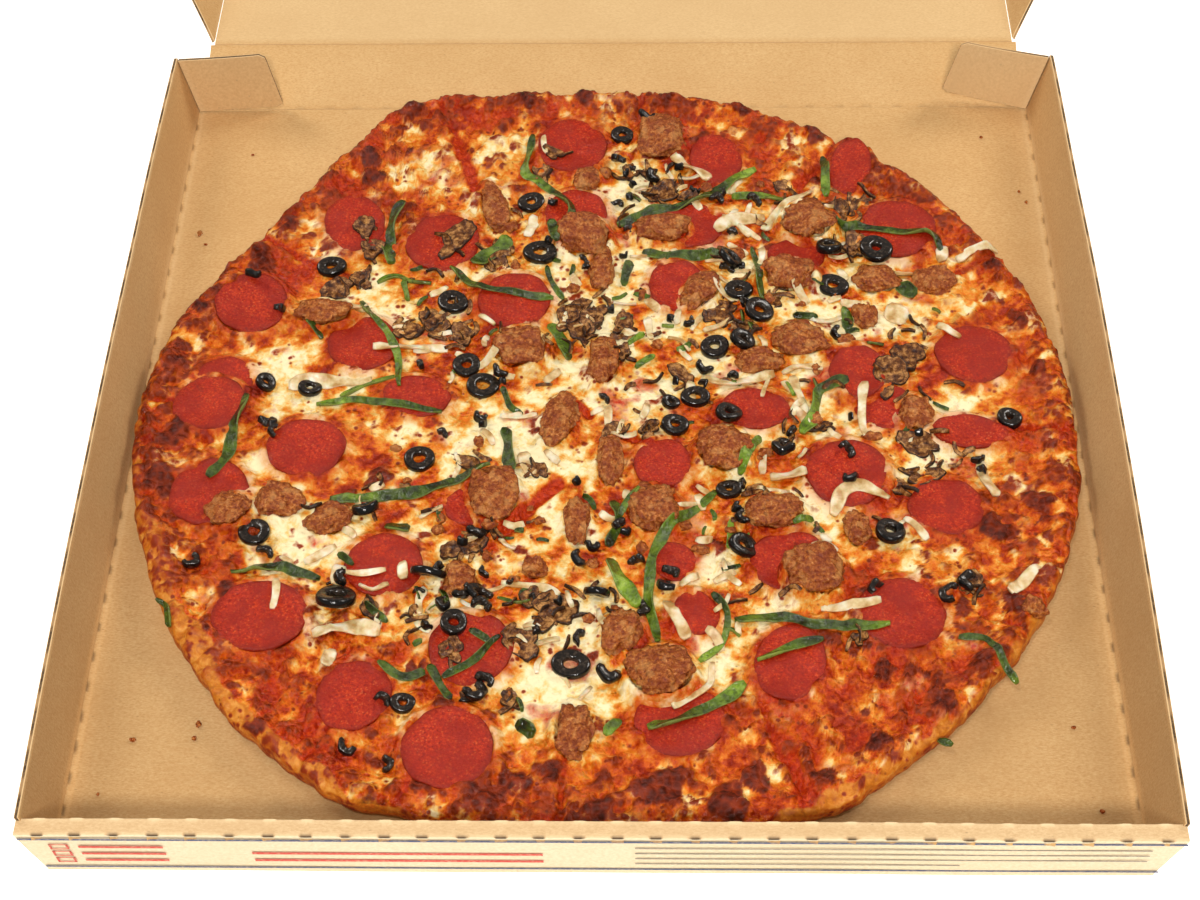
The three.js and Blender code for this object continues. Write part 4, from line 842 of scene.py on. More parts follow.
def front_print(navy, red, grey):
    """Plain printed rules, bars and small squares on the front face: no words."""
    def on_face(x, z):
        share = z / FRONT_HEIGHT
        return (x, FLOOR_FRONT - FRONT_LEAN * share - 0.32, z)

    def bars(name, ink, boxes):
        vertices, faces = [], []
        for x0, x1, z0, z1 in boxes:
            steps = max(int((x1 - x0) / 8), 1)
            for k in range(steps):
                a, b = x0 + (x1 - x0) * k / steps, x0 + (x1 - x0) * (k + 1) / steps
                base = len(vertices)
                vertices += [on_face(a, z0), on_face(b, z0), on_face(b, z1), on_face(a, z1)]
                faces.append((base, base + 1, base + 2, base + 3))
        piece(name, vertices, faces, [ink], "tray")

    bars("front_rules", navy, [(-236.5, 239, 33.2, 34.9), (-231.5, 233, 4.2, 5.7)])
    boxes = []                            # each is four thin sides and a bar for its words
    for z in (23.6, 16.6, 9.6):
        boxes += [(-225, -217, z, z + 0.9), (-225, -217, z + 4.4, z + 5.3),
                  (-225, -224, z, z + 5.3), (-218, -217, z, z + 5.3),
                  (-213, -178, z + 1.6, z + 3.7)]
    bars("front_boxes", red, boxes + [(-142, -22, 19.2, 21.6), (-142, -22, 11.8, 14.2)])
    bars("front_lines", grey, [(16, 226, z, z + 1.0) for z in (27.0, 21.5, 16.0)]
         + [(16, 150, 10.5, 11.5)])


def panel_grid(rows, columns, at):
    """A grid of points from a function of two shares, along and across a panel."""
    return np.array([[at(u, v) for v in np.linspace(0, 1, columns)]
                     for u in np.linspace(0, 1, rows)])


def corner_tab(side, bottom_rise, top_rise, opened, materials):
    """The tab folded in from the end of a side wall; its free end stands a little higher."""
    lean, turn = math.radians(SPLAY[side]), math.radians(opened)
    out = np.array([side * math.sin(lean), 0, math.cos(lean)])
    inward = np.array([-side * math.cos(turn), math.sin(turn), 0])
    through = np.array([side * math.sin(turn), math.cos(turn), 0])
    start = np.array([side * (FLOOR_HALF_WIDTH - 0.5), TAB_FRONT, BOARD + 0.4])

    def at(u, v):
        up = 0.6 + v * (WALL_SLANT - 1.6)
        place = start + out * up + inward * TAB_WIDTH * u
        place[2] += u * (bottom_rise * (1 - v) + top_rise * v)
        # worn corners, and a slow warp
        reach = max(abs(2 * v - 1) - 0.86, 0) / 0.14
        place = place - inward * 3.0 * reach ** 2 * max(u - 0.8, 0) / 0.2
        return place - through * 0.5 * math.sin(3.0 * u) * math.sin(2.4 * v)
    grid = panel_grid(26, 20, at)
    # painted light: the tabs are paler than the rest of the board, the right one more, and paler
    # still along their fold
    wear_and_painted_light = np.full(grid.shape[:2], 0.36 if side < 0 else 0.28)
    wear_and_painted_light[:2] -= 0.06
    name = "left_tab" if side < 0 else "right_tab"
    board(name + "_board", name, grid, -through, materials, wear_and_painted_light)


ALONG_BACK = np.array([0, math.cos(math.radians(BACK_REST)), math.sin(math.radians(BACK_REST))])
BACK_CREASE = np.array([0, FLOOR_BACK, BOARD])
LID_CREASE = BACK_CREASE + ALONG_BACK * BACK_WALL
LID_DROP = math.asin((LID_CREASE[2] - BOARD) / LID_LENGTH)
ALONG_LID = np.array([0, math.cos(LID_DROP), -math.sin(LID_DROP)])
LID_UP = np.array([0, math.sin(LID_DROP), math.cos(LID_DROP)])
ACROSS = np.array([1.0, 0, 0])


def back_wall(materials):
    """The low panel between tray and lid, bowed a little, with a crease along each side."""
    up = np.array([0, -ALONG_BACK[2], ALONG_BACK[1]])

    def at(u, v):
        x = (2 * v - 1) * (LID_HALF_WIDTH + 2)
        far = 0.25 + u * (BACK_WALL - 0.5)
        bend = 0.3 * math.sin(math.pi * u) * (1 + float(lumps(x, far, 80, 2)))
        return BACK_CREASE + ACROSS * x + ALONG_BACK * far + up * bend
    grid = panel_grid(24, 190, at)
    x = grid[..., 0]
    far = (grid[..., 1] - FLOOR_BACK) / ALONG_BACK[1]
    near_crease = np.exp(-((far - 0.8) / 1.2) ** 2) \
        + np.exp(-((far - BACK_WALL + 0.8) / 1.2) ** 2)
    # painted shade: darker along both creases and in the slits along the lower one; a touch paler
    # elsewhere
    wear_and_painted_light = 0.48 + 0.05 * near_crease + 0.1 * near_crease * dashes(x, 0) * (far < 20)
    board("back_wall_board", "back_wall", grid, up, materials, wear_and_painted_light)


def lid_panel(materials):
    """The lid, warped a little away from its edges."""
    def at(u, v):
        x = (2 * v - 1) * (LID_HALF_WIDTH - 0.15)
        far = 0.25 + u * (LID_LENGTH - 0.5)
        edge = min(far, LID_LENGTH - far, 60) / 60
        warp = 0.7 * edge * (1 + float(lumps(x, far, 110, 31)))
        return LID_CREASE + ACROSS * x + ALONG_LID * far + LID_UP * warp
    grid = panel_grid(96, 96, at)
    # painted light: the whole lid is paler than the tray, a little less along its crease
    wear_and_painted_light = np.full(grid.shape[:2], 0.36)
    wear_and_painted_light[:1] += 0.12
    board("lid_board", "lid", grid, LID_UP, materials, wear_and_painted_light)


def side_flap(side, materials):
    """The flap along a side of the lid, cut to a slant at both ends."""
    rise = math.radians(FLAP_REST)
    name = "lid_left_flap" if side < 0 else "lid_right_flap"
    out = ACROSS * side * math.cos(rise) + LID_UP * math.sin(rise)
    look = -ACROSS * side * math.sin(rise) + LID_UP * math.cos(rise)

    def depth(far):
        ramp = min((far - 3) / SIDE_FLAP, 1)
        tail = min((LID_LENGTH - 4 - far) / 12, 1)
        return max(SIDE_FLAP * min(ramp, 0.45 + 0.55 * tail), 0.4)

    def at(u, v):
        # closer stations over the slanted corner
        far = 3 + (LID_LENGTH - 8) * (u ** 1.5)
        warp = 0.5 * math.sin(9 * u) * v
        return (LID_CREASE + ACROSS * side * (LID_HALF_WIDTH + 0.1) + ALONG_LID * far
                + out * (0.2 + v * depth(far)) + look * warp)
    grid = panel_grid(150, 10, at)
    wear_and_painted_light = np.full(grid.shape[:2], 0.5)
    wear_and_painted_light[:, :1] -= 0.06
    board(name + "_board", name, grid, look, materials, wear_and_painted_light)


def front_flap(materials):
    """The flap across the lid's far end, narrower towards its free edge."""
    rise = math.radians(FLAP_REST)
    out = ALONG_LID * math.cos(rise) + LID_UP * math.sin(rise)
    look = -ALONG_LID * math.sin(rise) + LID_UP * math.cos(rise)

    def at(u, v):
        half = LID_HALF_WIDTH - 4 - 12 * smooth(0.45, 1, u) ** 1.5
        return (LID_CREASE + ALONG_LID * LID_LENGTH + ACROSS * (2 * v - 1) * half
                + out * (0.2 + u * (FRONT_FLAP - 0.2)) + look * 0.4 * math.sin(11 * v) * u)
    grid = panel_grid(12, 120, at)
    wear_and_painted_light = np.full(grid.shape[:2], 0.5)
    wear_and_painted_light[:1] -= 0.25
    board("lid_front_flap_board", "lid_front_flap", grid, look, materials, wear_and_painted_light)


# ---------------------------------------------------------------- the baked surface
STEP = 0.8                      # spacing of the maps below
SPAN = 254.4                    # half their width
MAP_LINE = np.arange(-SPAN, SPAN + STEP / 2, STEP)
MAP_X, MAP_Y = np.meshgrid(MAP_LINE, MAP_LINE, indexing="ij")


def window(x, y, reach):
    """The part of a map within reach of a place."""
    sides = []
    for at in (x, y):
        low = int((at - reach + SPAN) / STEP)
        high = int((at + reach + SPAN) / STEP) + 2
        sides.append(slice(max(low, 0), min(high, len(MAP_LINE))))
    return tuple(sides)


def read(chart, x, y):
    """A map's value at any place."""
    u = np.clip((np.asarray(x, float) + SPAN) / STEP, 0, len(MAP_LINE) - 1.001)
    v = np.clip((np.asarray(y, float) + SPAN) / STEP, 0, len(MAP_LINE) - 1.001)
    i, j = u.astype(int), v.astype(int)
    a, b = u - i, v - j
    return (chart[i, j] * (1 - a) * (1 - b) + chart[i + 1, j] * a * (1 - b)
            + chart[i, j + 1] * (1 - a) * b + chart[i + 1, j + 1] * a * b)


def swell(x, y):
    """Slow rises and dips of the cheese under the toppings."""
    return (0.5 * np.sin(x / 23 + 1.3) * np.sin(y / 19)
            + 0.35 * np.sin(x / 11 - y / 14 + 0.7) + 0.3 * np.sin(y / 8 + x / 31))


def crest(degrees):
    """Height of the raised rim."""
    turn = np.radians(degrees)
    return 16.6 + 1.2 * np.sin(turn) + 0.9 * np.sin(9 * turn + 1) + 0.6 * np.sin(17 * turn)


def raise_blisters(bake, ring, inside):
    """Domes blown up by the oven: the large named ones and many small ones, mostly outside."""
    draw = random.Random(12)
    thick = crumple(MAP_X, MAP_Y, 26, 77)
    spots = [spot + (1.0,) for spot in BLISTERS]
    while len(spots) < BLISTERS_IN_ALL:
        turn = draw.uniform(0, 360)
        r = BLISTER_REACH * math.sqrt(draw.uniform(0.1, 1))
        x, y = r * math.cos(math.radians(turn)), PIZZA_Y + r * math.sin(math.radians(turn))
        likely = (0.1 + 0.9 * read(ring, x, y)) * smooth(-0.5, 0.2, read(thick, x, y))
        if draw.random() < likely and read(inside, x, y) > 2:
            size = draw.uniform(1.5, 3.3) if draw.random() < 0.85 else draw.uniform(3.3, 5.2)
            spots.append((x, y, size, draw.uniform(0.45, 1.0)))
    for bx, by, size, darkness in spots:
        part = window(bx, by, size * 1.6)
        px, py = MAP_X[part] - bx, MAP_Y[part] - by
        turn = np.arctan2(py, px)
        ragged = 1 + 0.16 * np.sin(2 * turn + bx) + 0.12 * np.sin(3 * turn + by) \
            + 0.08 * np.sin(5 * turn + bx + by)
        dome = np.clip(1 - (np.hypot(px, py) / size / ragged) ** 2, 0, 1)
        lift = dome ** 0.6 * min(size * 0.45, 3.0)
        bake["height"][part] += np.clip(lift - 0.5 * bake["dome"][part], 0, None)
        bake["dome"][part] = np.maximum(bake["dome"][part], lift)
        brown = smooth(0.02, 0.45, dome) * min(0.6 + size / 12, 1) * darkness \
            * (0.85 + 0.2 * lumps(MAP_X[part], MAP_Y[part], 3.2, 18))
        bake["toast"][part] = np.maximum(bake["toast"][part], brown)


def bake_pizza():
    """The bake as maps: its height, and shares from 0 to 1 of cream (0 is red and oily, 1 white
    cheese), toast, sauce, dough and char."""
    x, y = MAP_X, MAP_Y
    r = np.hypot(x, y - PIZZA_Y)
    degrees = np.degrees(np.arctan2(y - PIZZA_Y, x))
    inside = around(CRUST_EDGE, degrees) - r
    level = TOPPING_LEVEL + swell(x, y)
    rise = np.interp(inside, [0, 0.5, 2.8, 6.5, 11, CRUST_WIDTH, CRUST_WIDTH + 8],
                     [0.3, 0.4, 0.74, 1.0, 0.7, 0.12, 0.0])
    broad, middling, small = (crumple(x, y, size, seed) for size, seed in
                              ((22, 41), (7.5, 2), (3.6, 3)))
    ring = smooth(-15, 13, r - around(RING_START, degrees) + 15 * broad)
    near_rim = smooth(34, 8, inside)
    bake = {"height": level + (crest(degrees) - level) * rise, "dome": np.zeros_like(x),
            "inside": inside, "ring": ring}
    # the outer cheese browns in a net of joined islands, each one risen a little
    islands = smooth(0.0, 0.34, middling + 0.75 * small + 0.2 * broad - 0.2
                     + around(BROWNER, degrees)
                     + 0.25 * near_rim * crumple(x, y, 30, 8) + 0.06 * near_rim)
    freckles = smooth(0.34, 0.62, crumple(x, y, 4.6, 5, 2)) \
        * smooth(-0.15, 0.35, crumple(x, y, 30, 6, 2))
    gold = smooth(0.1, 0.5, crumple(x, y, 8, 9))
    pale = np.zeros_like(x)
    for px, py, size in PALE:
        part = window(px, py, 3 * size)
        pale[part] += np.exp(-((x[part] - px) ** 2 + (y[part] - py) ** 2) / (1.2 * size ** 2))
    curdled = np.clip(pale + 0.5 * middling, 0, 1) * ring
    bake["toast"] = islands * ring * (0.4 + 0.3 * near_rim) * (1 - 0.6 * curdled) \
        + 0.6 * freckles * (1 - ring) \
        + 0.25 * smooth(0.1, 0.5, crumple(x, y, 12, 14)) * (1 - ring)
    bake["height"] += (0.4 + 0.75 * ring) * (middling + 0.9) * smooth(0, 6, inside) * 0.8 \
        + (0.35 + 0.75 * ring) * small + 1.1 * islands * ring + 0.35 * freckles
    raise_blisters(bake, ring, inside)
    cream = np.clip(0.59 + 0.6 * crumple(x, y, 15, 51) + 0.32 * crumple(x, y, 5, 54, 2)
                    + 0.42 * pale, 0, 1)
    bake["cream"] = cream * (1 - ring) + ring * np.clip(
        0.28 + 0.42 * gold + 0.3 * crumple(x, y, 12, 19) + 0.4 * curdled, 0.05, 0.92)
    bake["sauce"] = 0.7 * smooth(0.1, 0.7, crumple(x, y, 17, 72) - 0.4 * curdled
                                 + ring * around(REDDER, degrees))
    # cuts: mostly healed in the middle, open towards the rim
    for cut in CUTS:
        ray = math.radians(cut)
        ahead = x * math.cos(ray) + (y - PIZZA_Y) * math.sin(ray)
        off = -x * math.sin(ray) + (y - PIZZA_Y) * math.cos(ray) \
            + 1.6 * lumps(ahead, 0 * ahead, 22, 4)
        opened = smooth(0, 60, ahead) * (0.2 + 0.8 * smooth(150, 205, ahead)) \
            * smooth(-0.5, 0.4, lumps(ahead, 0 * ahead + cut, 26, 9) + 0.7 * (ahead > 190))
        groove = np.exp(-(off / 1.5) ** 2) * opened
        bake["height"] -= 2.4 * groove
        bake["cream"] *= 1 - 0.8 * groove
        bake["sauce"] = np.maximum(bake["sauce"], 0.9 * groove)
    for half, *flat in GASHES:
        reach = line_distance(x, y, flat) + 0.9 * lumps(x, y, 5, 13)
        groove = 1 - smooth(half * 0.5, half * 1.5, reach)
        bake["height"] -= (1.2 + 0.35 * half) * groove
        bake["cream"] *= 1 - groove
        bake["toast"] *= 1 - 0.8 * groove
        bake["sauce"] = np.maximum(bake["sauce"], groove)
    band = around(DOUGH_BAND, degrees)
    bake["dough"] = smooth(0, 3, band - inside + 4.5 * crumple(x, y, 10, 81)) * (band > 2)
    bake["toast"] *= 1 - 0.45 * bake["dough"] * smooth(0.4, -0.3, crumple(x, y, 12, 82))
    burnt = np.exp(-((x + 96) / 10) ** 2 - ((y + 213) / 8) ** 2)
    bake["char"] = np.clip(
        smooth(0.8, 1.0, bake["toast"]) * smooth(0.0, 0.5, crumple(x, y, 22, 91) + 0.1 * near_rim)
        * 0.4 * ring + 0.6 * smooth(0.3, 0.8, burnt + 0.25 * small), 0, 1)
    return bake


BAKE = bake_pizza()
BAKE["oil"] = np.zeros_like(MAP_X)


def level_at(x, y):
    """Height of the bake at a place."""
    return read(BAKE["height"], x, y)


class Topping:
    """An oval piece lying on a slanting plane."""

    def __init__(self, x, y, across, along, turn, slope, level, thick):
        self.x, self.y, self.across, self.along = x, y, across, along
        self.turn, self.slope, self.level, self.thick = math.radians(turn), slope, level, thick

    def local(self, x, y):
        """Place in the piece's own axes, in shares of its radii."""
        c, s = math.cos(self.turn), math.sin(self.turn)
        dx, dy = x - self.x, y - self.y
        return (dx * c + dy * s) / self.across, (-dx * s + dy * c) / self.along

    def place(self, u, v):
        """The place that these shares of its radii give."""
        c, s = math.cos(self.turn), math.sin(self.turn)
        a, b = u * self.across, v * self.along
        return self.x + a * c - b * s, self.y + a * s + b * c

    def plane(self, x, y):
        """Height of its slanting underside."""
        return self.level + self.slope[0] * (x - self.x) + self.slope[1] * (y - self.y)

    def top(self, x, y, domed):
        """Height of its upper side, far below everything outside its outline."""
        u, v = self.local(x, y)
        rho = np.clip(u * u + v * v, 0, 1)
        body = self.thick * (np.sqrt(1 - rho) if domed else 1.0)
        return np.where(u * u + v * v < 1, self.plane(x, y) + body, -1e9)


def from_node(node, thick, rim):
    """The oval and the plane of a solid topping, from its corners; rim is how far out they lie,
    as a share of its radius."""
    points = np.array([v.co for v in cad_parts[node].data.vertices]) / MM
    middle = points.mean(axis=0)
    flat = points[:, :2] - middle[:2]
    slope = np.linalg.lstsq(flat, points[:, 2] - middle[2], rcond=None)[0]
    spread, axes = np.linalg.eigh(flat.T @ flat / len(flat))
    across, along = np.sqrt(2 * spread) / rim
    turn = math.degrees(math.atan2(axes[1, 0], axes[0, 0]))
    heights = points[:, 2] - flat @ slope
    return Topping(middle[0], middle[1], across, along, turn, slope, heights.min(), thick)


def on_cheese(x, y, across, along, turn, thick, sunk):
    """A small topping pressed into what is under it, following its slope."""
    step = 6.0
    slope = ((level_at(x + step, y) - level_at(x - step, y)) / (2 * step),
             (level_at(x, y + step) - level_at(x, y - step)) / (2 * step))
    return Topping(x, y, across, along, turn, np.clip(slope, -0.3, 0.3),
                   float(resting(x, y)) - sunk, thick)


LAID = []          # (topping, domed) that others may lie on


def resting(x, y):
    """Top of whatever is at a place."""
    best = level_at(x, y)
    for topping, domed in LAID:
        best = np.maximum(best, topping.top(x, y, domed))
    return best


def draw_cheese_up():
    """Melted cheese is drawn up against the toppings, and in places over their edges."""
    for topping, domed in LAID:
        part = window(topping.x, topping.y, max(topping.across, topping.along) + 9)
        px, py, height = MAP_X[part], MAP_Y[part], BAKE["height"][part]
        u, v = topping.local(px, py)
        edge = (np.hypot(u, v) - 1) * (topping.across + topping.along) / 2
        turn = np.arctan2(v, u)
        wander = np.sin(2 * turn + topping.x) + np.sin(3 * turn + topping.y) \
            + 0.7 * np.sin(5 * turn + topping.x + topping.y) \
            + 0.5 * np.sin(9 * turn + topping.x - topping.y)
        creep = 0.5 + (0.5 if domed else 1.3) * np.clip(wander - 0.7, 0, 3)
        climb = topping.thick * ((0.34 + 0.08 * wander) if domed
                                 else np.clip(1.0 + 0.22 * wander, 0.62, 1.4))
        pull = smooth(-creep - 1.2, -creep, edge) * (1 - smooth(0.3, 5.5, edge))
        goal = topping.plane(px, py) + climb + 0.3 * crumple(px, py, 4, 23, 2)
        lifted = np.maximum(height, height * (1 - pull) + goal * pull)
        under = np.minimum(lifted, topping.plane(px, py) - 0.3)
        BAKE["height"][part] = np.where(edge < -creep - 1.2, under, lifted)
        if not domed:
            leaked = 0.85 * np.exp(-(np.clip(edge, 0, 9) / 3.5) ** 2)
            BAKE["oil"][part] = np.maximum(BAKE["oil"][part], leaked)


def baked_base(cheese):
    """Crust, sauce and cheese: an even grid pressed into the pizza's outline, then its side."""
    cells = 290
    line = np.linspace(-1, 1, cells + 1)
    a, b = np.meshgrid(line, line, indexing="ij")
    r = np.maximum(np.abs(a), np.abs(b))
    wide = np.abs(a) >= np.abs(b)
    with np.errstate(divide="ignore", invalid="ignore"):
        turn = np.where(wide, (math.pi / 4) * np.nan_to_num(b / a),
                        math.pi / 2 - (math.pi / 4) * np.nan_to_num(a / b))
    turn = np.where(np.where(wide, a, b) < 0, turn + math.pi, turn)
    rim_x, rim_y = 230 * np.cos(turn), 230 * np.sin(turn)
    ragged = 1.3 * crumple(rim_x, rim_y, 13, 7) + 0.6 * crumple(rim_x, rim_y, 5, 6, 2)
    edge = around(CRUST_EDGE, np.degrees(turn)) - 0.8 + ragged
    # the rows close up a little towards the rim
    reach = r * (1.06 - 0.06 * r ** 2)
    x, y = reach * edge * np.cos(turn), PIZZA_Y + reach * edge * np.sin(turn)
    index = np.arange((cells + 1) ** 2).reshape(cells + 1, cells + 1)
    faces = np.stack([index[:-1, :-1], index[1:, :-1], index[1:, 1:], index[:-1, 1:]],
                     -1).reshape(-1, 4)
    vertices = np.stack([x, y, read(BAKE["height"], x, y)], -1).reshape(-1, 3)
    keys = ("cream", "toast", "sauce", "dough", "char", "oil")
    masks = np.stack([read(BAKE[key], x, y) for key in keys], -1).reshape(-1, 6)
    loop = np.concatenate([index[:-1, 0], index[-1, :-1], index[:0:-1, -1], index[0, :0:-1]])
    around_edge = vertices[loop]
    out = around_edge[:, :2] - (0, PIZZA_Y)
    out /= np.linalg.norm(out, axis=1, keepdims=True)
    top = around_edge[:, 2]
    last, count = loop, len(loop)
    # the side is golden dough, browned where the top's toast runs over; the masks' columns are
    # in the order of the keys
    browned = 0.5 * masks[loop][:, 1] * (masks[loop][:, 3] < 0.3)
    patches = 0.2 * crumple(around_edge[:, 0], around_edge[:, 1], 13, 83)
    faces = [faces]
    # down the side: (mm pushed out, share of the height)
    for push, share in ((0.55, 0.86), (0.8, 0.66), (0.7, 0.45), (0.1, 0.24), (-1.6, 0.08),
                        (-4.5, 0.0)):
        ring = np.concatenate([around_edge[:, :2] + out * push, (
            PIZZA_UNDERSIDE + (top - PIZZA_UNDERSIDE) * share)[:, None]], 1)
        golden = np.tile([0.2, 0.38, 0.1, 1, 0, 0], (count, 1))
        # browner towards the bottom: partly the real browning under the crust, partly painted
        # shade next to the board
        golden[:, 1] += browned * share ** 3 + patches + 0.12 * (1 - share)
        start = len(vertices)
        vertices = np.concatenate([vertices, ring])
        masks = np.concatenate([masks, golden])
        now = np.arange(start, start + count)
        faces.append(np.stack([last, now, np.roll(now, -1), np.roll(last, -1)], -1))
        last = now
    faces = np.concatenate(faces).tolist() + [last[::-1].tolist()]
    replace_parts(piece("baked_base", vertices, faces, [cheese], "tray",
                      colours={"bake": masks[:, :3], "crust": masks[:, 3:]}), "pizza")


# ---------------------------------------------------------------- toppings
def skin_over(rings, count):
    """Faces of a skin drawn over rings of this many points, one after another."""
    return [(k * count + i, k * count + (i + 1) % count,
             (k + 1) * count + (i + 1) % count, (k + 1) * count + i)
            for k in range(rings - 1) for i in range(count)]


def pepperoni_slice(name, topping, meat, node=None):
    """A thin round slice with a rounded, slightly lifted edge."""
    draw = random.Random(int(topping.x * 31 + topping.y * 17))
    turns = np.linspace(0, 2 * math.pi, 73)[:-1]
    phase = [draw.uniform(0, 6.28) for _ in range(4)]
    outline = 1 + 0.018 * np.sin(3 * turns + phase[0]) + 0.012 * np.sin(7 * turns + phase[1]) \
        + 0.006 * np.sin(13 * turns + phase[3]) - 0.02
    curl = 0.4 * (1 + np.sin(2 * turns + phase[2])) + 0.25 * np.sin(5 * turns + phase[3])
    # (share of the radius, height)
    rings = [(0.96, -0.05), (0.985, 0.3), (0.995, 0.8), (0.99, 1.2), (0.97, 1.5), (0.94, 1.68),
             (0.9, 1.75), (0.84, 1.78), (0.76, 1.8), (0.66, 1.82), (0.55, 1.85), (0.43, 1.9),
             (0.3, 1.9), (0.15, 1.9)]
    vertices, edge = [], []
    for share, up in rings:
        px, py = topping.place(share * outline * np.cos(turns), share * outline * np.sin(turns))
        lift = curl * float(smooth(0.5, 1.0, share)) * (0.7 if up < 1 else 1)
        bumps = 0.5 * lumps(px, py, 8, 5) + 0.22 * lumps(px, py, 3, 6)
        z = topping.plane(px, py) + up + lift + bumps * (up > 1.4)
        vertices += list(zip(px, py, z))
        edge += [share] * len(turns)
    count = len(turns)
    faces = skin_over(len(rings), count)
    last = (len(rings) - 1) * count
    vertices.append((topping.x, topping.y, topping.plane(topping.x, topping.y) + 1.9))
    vertices.append((topping.x, topping.y, topping.plane(topping.x, topping.y)))
    edge += [0, 0]
    for i in range(count):
        j = (i + 1) % count
        faces.append((last + i, last + j, len(vertices) - 2))
        faces.append((j, i, len(vertices) - 1))
    made = piece(name, vertices, faces, [meat], "tray", attributes={"edge": edge})
    if node:
        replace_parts(made, node)


def ball(steps):
    """Points and faces of an even ball, from a cube."""
    line = np.linspace(-1, 1, steps + 1)
    vertices, faces, seen = [], [], {}
    for axis in range(3):
        for side in (-1, 1):
            ids = np.zeros((steps + 1, steps + 1), int)
            for i, a in enumerate(line):
                for j, b in enumerate(line):
                    corner = [0.0, 0.0, 0.0]
                    corner[axis], corner[(axis + 1) % 3], corner[(axis + 2) % 3] = side, a, b
                    key = tuple(round(c, 6) for c in corner)
                    if key not in seen:
                        seen[key] = len(vertices)
                        warped = np.tan(np.array(corner) * math.pi / 4)
                        vertices.append(warped / np.linalg.norm(warped))
                    ids[i, j] = seen[key]
            for i in range(steps):
                for j in range(steps):
                    quad = (ids[i, j], ids[i + 1, j], ids[i + 1, j + 1], ids[i, j + 1])
                    faces.append(quad if side > 0 else quad[::-1])
    return np.array(vertices), faces


BALL, BALL_FACES = ball(15)
PEBBLE, PEBBLE_FACES = ball(5)


def sausage_lump(topping, height):
    """A crumbled lump of mince: a squarish ball, knobbly at four scales, flat underneath."""
    seed = Vector((topping.x, topping.y, 0))
    swelling = np.array([
        1 + 0.42 * noise.noise(Vector(p) * 1.3 + seed) + 0.2 * noise.noise(Vector(p) * 2.9 + seed)
        + 0.12 * noise.noise(Vector(p) * 6.0 + seed) + 0.08 * noise.noise(Vector(p) * 12 + seed)
        for p in BALL])
    body = BALL * swelling[:, None]
    square = np.sign(body) * np.abs(body) ** 0.88
    px, py = topping.place(square[:, 0] * 0.9, square[:, 1] * 0.9)
    up = height * (0.46 + 0.5 * body[:, 2])
    up = np.where(up < 0.6, 0.6 + (up - 0.6) * 0.15, up)
    return np.stack([px, py, topping.plane(px, py) + up], -1)


def olive_slice(x, y, radius, tilt, turn, sweep):
    """A ring cut from a stoned olive, or this many degrees of one: (points, faces, edge mask)."""
    draw = random.Random(int(x * 13 + y * 7))
    whole = sweep >= 360
    count = 36 if whole else max(int(sweep / 10), 8)
    half = draw.uniform(1.7, 2.4)
    hole = draw.uniform(0.26, 0.4)
    section, width = [], 14
    for k in range(width):
        angle = 2 * math.pi * k / width
        c, s = math.cos(angle), math.sin(angle)
        c, s = math.copysign(abs(c) ** 0.5, c), math.copysign(abs(s) ** 0.6, s)
        middle, wide = (1 + hole) / 2, (1 - hole) / 2
        section.append((radius * (middle + wide * c), half * s, smooth(0.3, 0.95, c)))
    steps = count if whole else count + 1
    oval = draw.uniform(0.84, 1.0)
    wobble = [draw.uniform(0, 6.28) for _ in range(3)]
    rotation = Matrix.Rotation(math.radians(turn), 3, "Z") @ Matrix.Rotation(
        math.radians(tilt), 3, "Y")
    rise = float(resting(x, y)) + 1.0 + 0.55 * radius * math.sin(math.radians(tilt))
    vertices, edge, faces = [], [], []
    for k in range(steps):
        angle = wobble[0] + math.radians(sweep) * k / count
        uneven = 1 + 0.06 * math.sin(2 * angle + wobble[1]) + (0 if whole else 0.06) * math.sin(
            5 * angle + wobble[2])
        warp = 0.35 * math.sin(2 * angle + wobble[2]) + (0 if whole else 0.4) * math.sin(
            3 * angle + wobble[1])
        pinch = 1.0 if whole else 0.72 + 0.28 * math.sin(math.pi * k / count)
        for distance, up, skin in section:
            far = radius * 0.65 + (distance - radius * 0.65) * pinch
            local = Vector((far * uneven * math.cos(angle),
                            far * uneven * oval * math.sin(angle), up * pinch + warp))
            spot = rotation @ local
            vertices.append((x + spot.x, y + spot.y, rise + spot.z))
            edge.append(float(skin))
    for k in range(count):
        n = (k + 1) % steps
        for i in range(width):
            j = (i + 1) % width
            faces.append((k * width + i, n * width + i, n * width + j, k * width + j))
    if not whole:
        faces.append(tuple(range(width)))
        faces.append(tuple(range((steps - 1) * width, steps * width))[::-1])
    return vertices, faces, edge


def curve_points(flat, spacing):
    """A smooth line through the points, evenly stepped."""
    points = np.array(flat, float).reshape(-1, 2)
    padded = np.vstack([2 * points[0] - points[1], points, 2 * points[-1] - points[-2]])
    found = []
    for k in range(1, len(padded) - 2):
        p0, p1, p2, p3 = padded[k - 1:k + 3]
        steps = max(int(np.linalg.norm(p2 - p1) / spacing), 2)
        for t in np.arange(steps) / steps:
            found.append(0.5 * (2 * p1 + (p2 - p0) * t + (2 * p0 - 5 * p1 + 4 * p2 - p3) * t * t
                                + (3 * p1 - p0 - 3 * p2 + p3) * t ** 3))
    found.append(points[-1])
    return np.array(found)


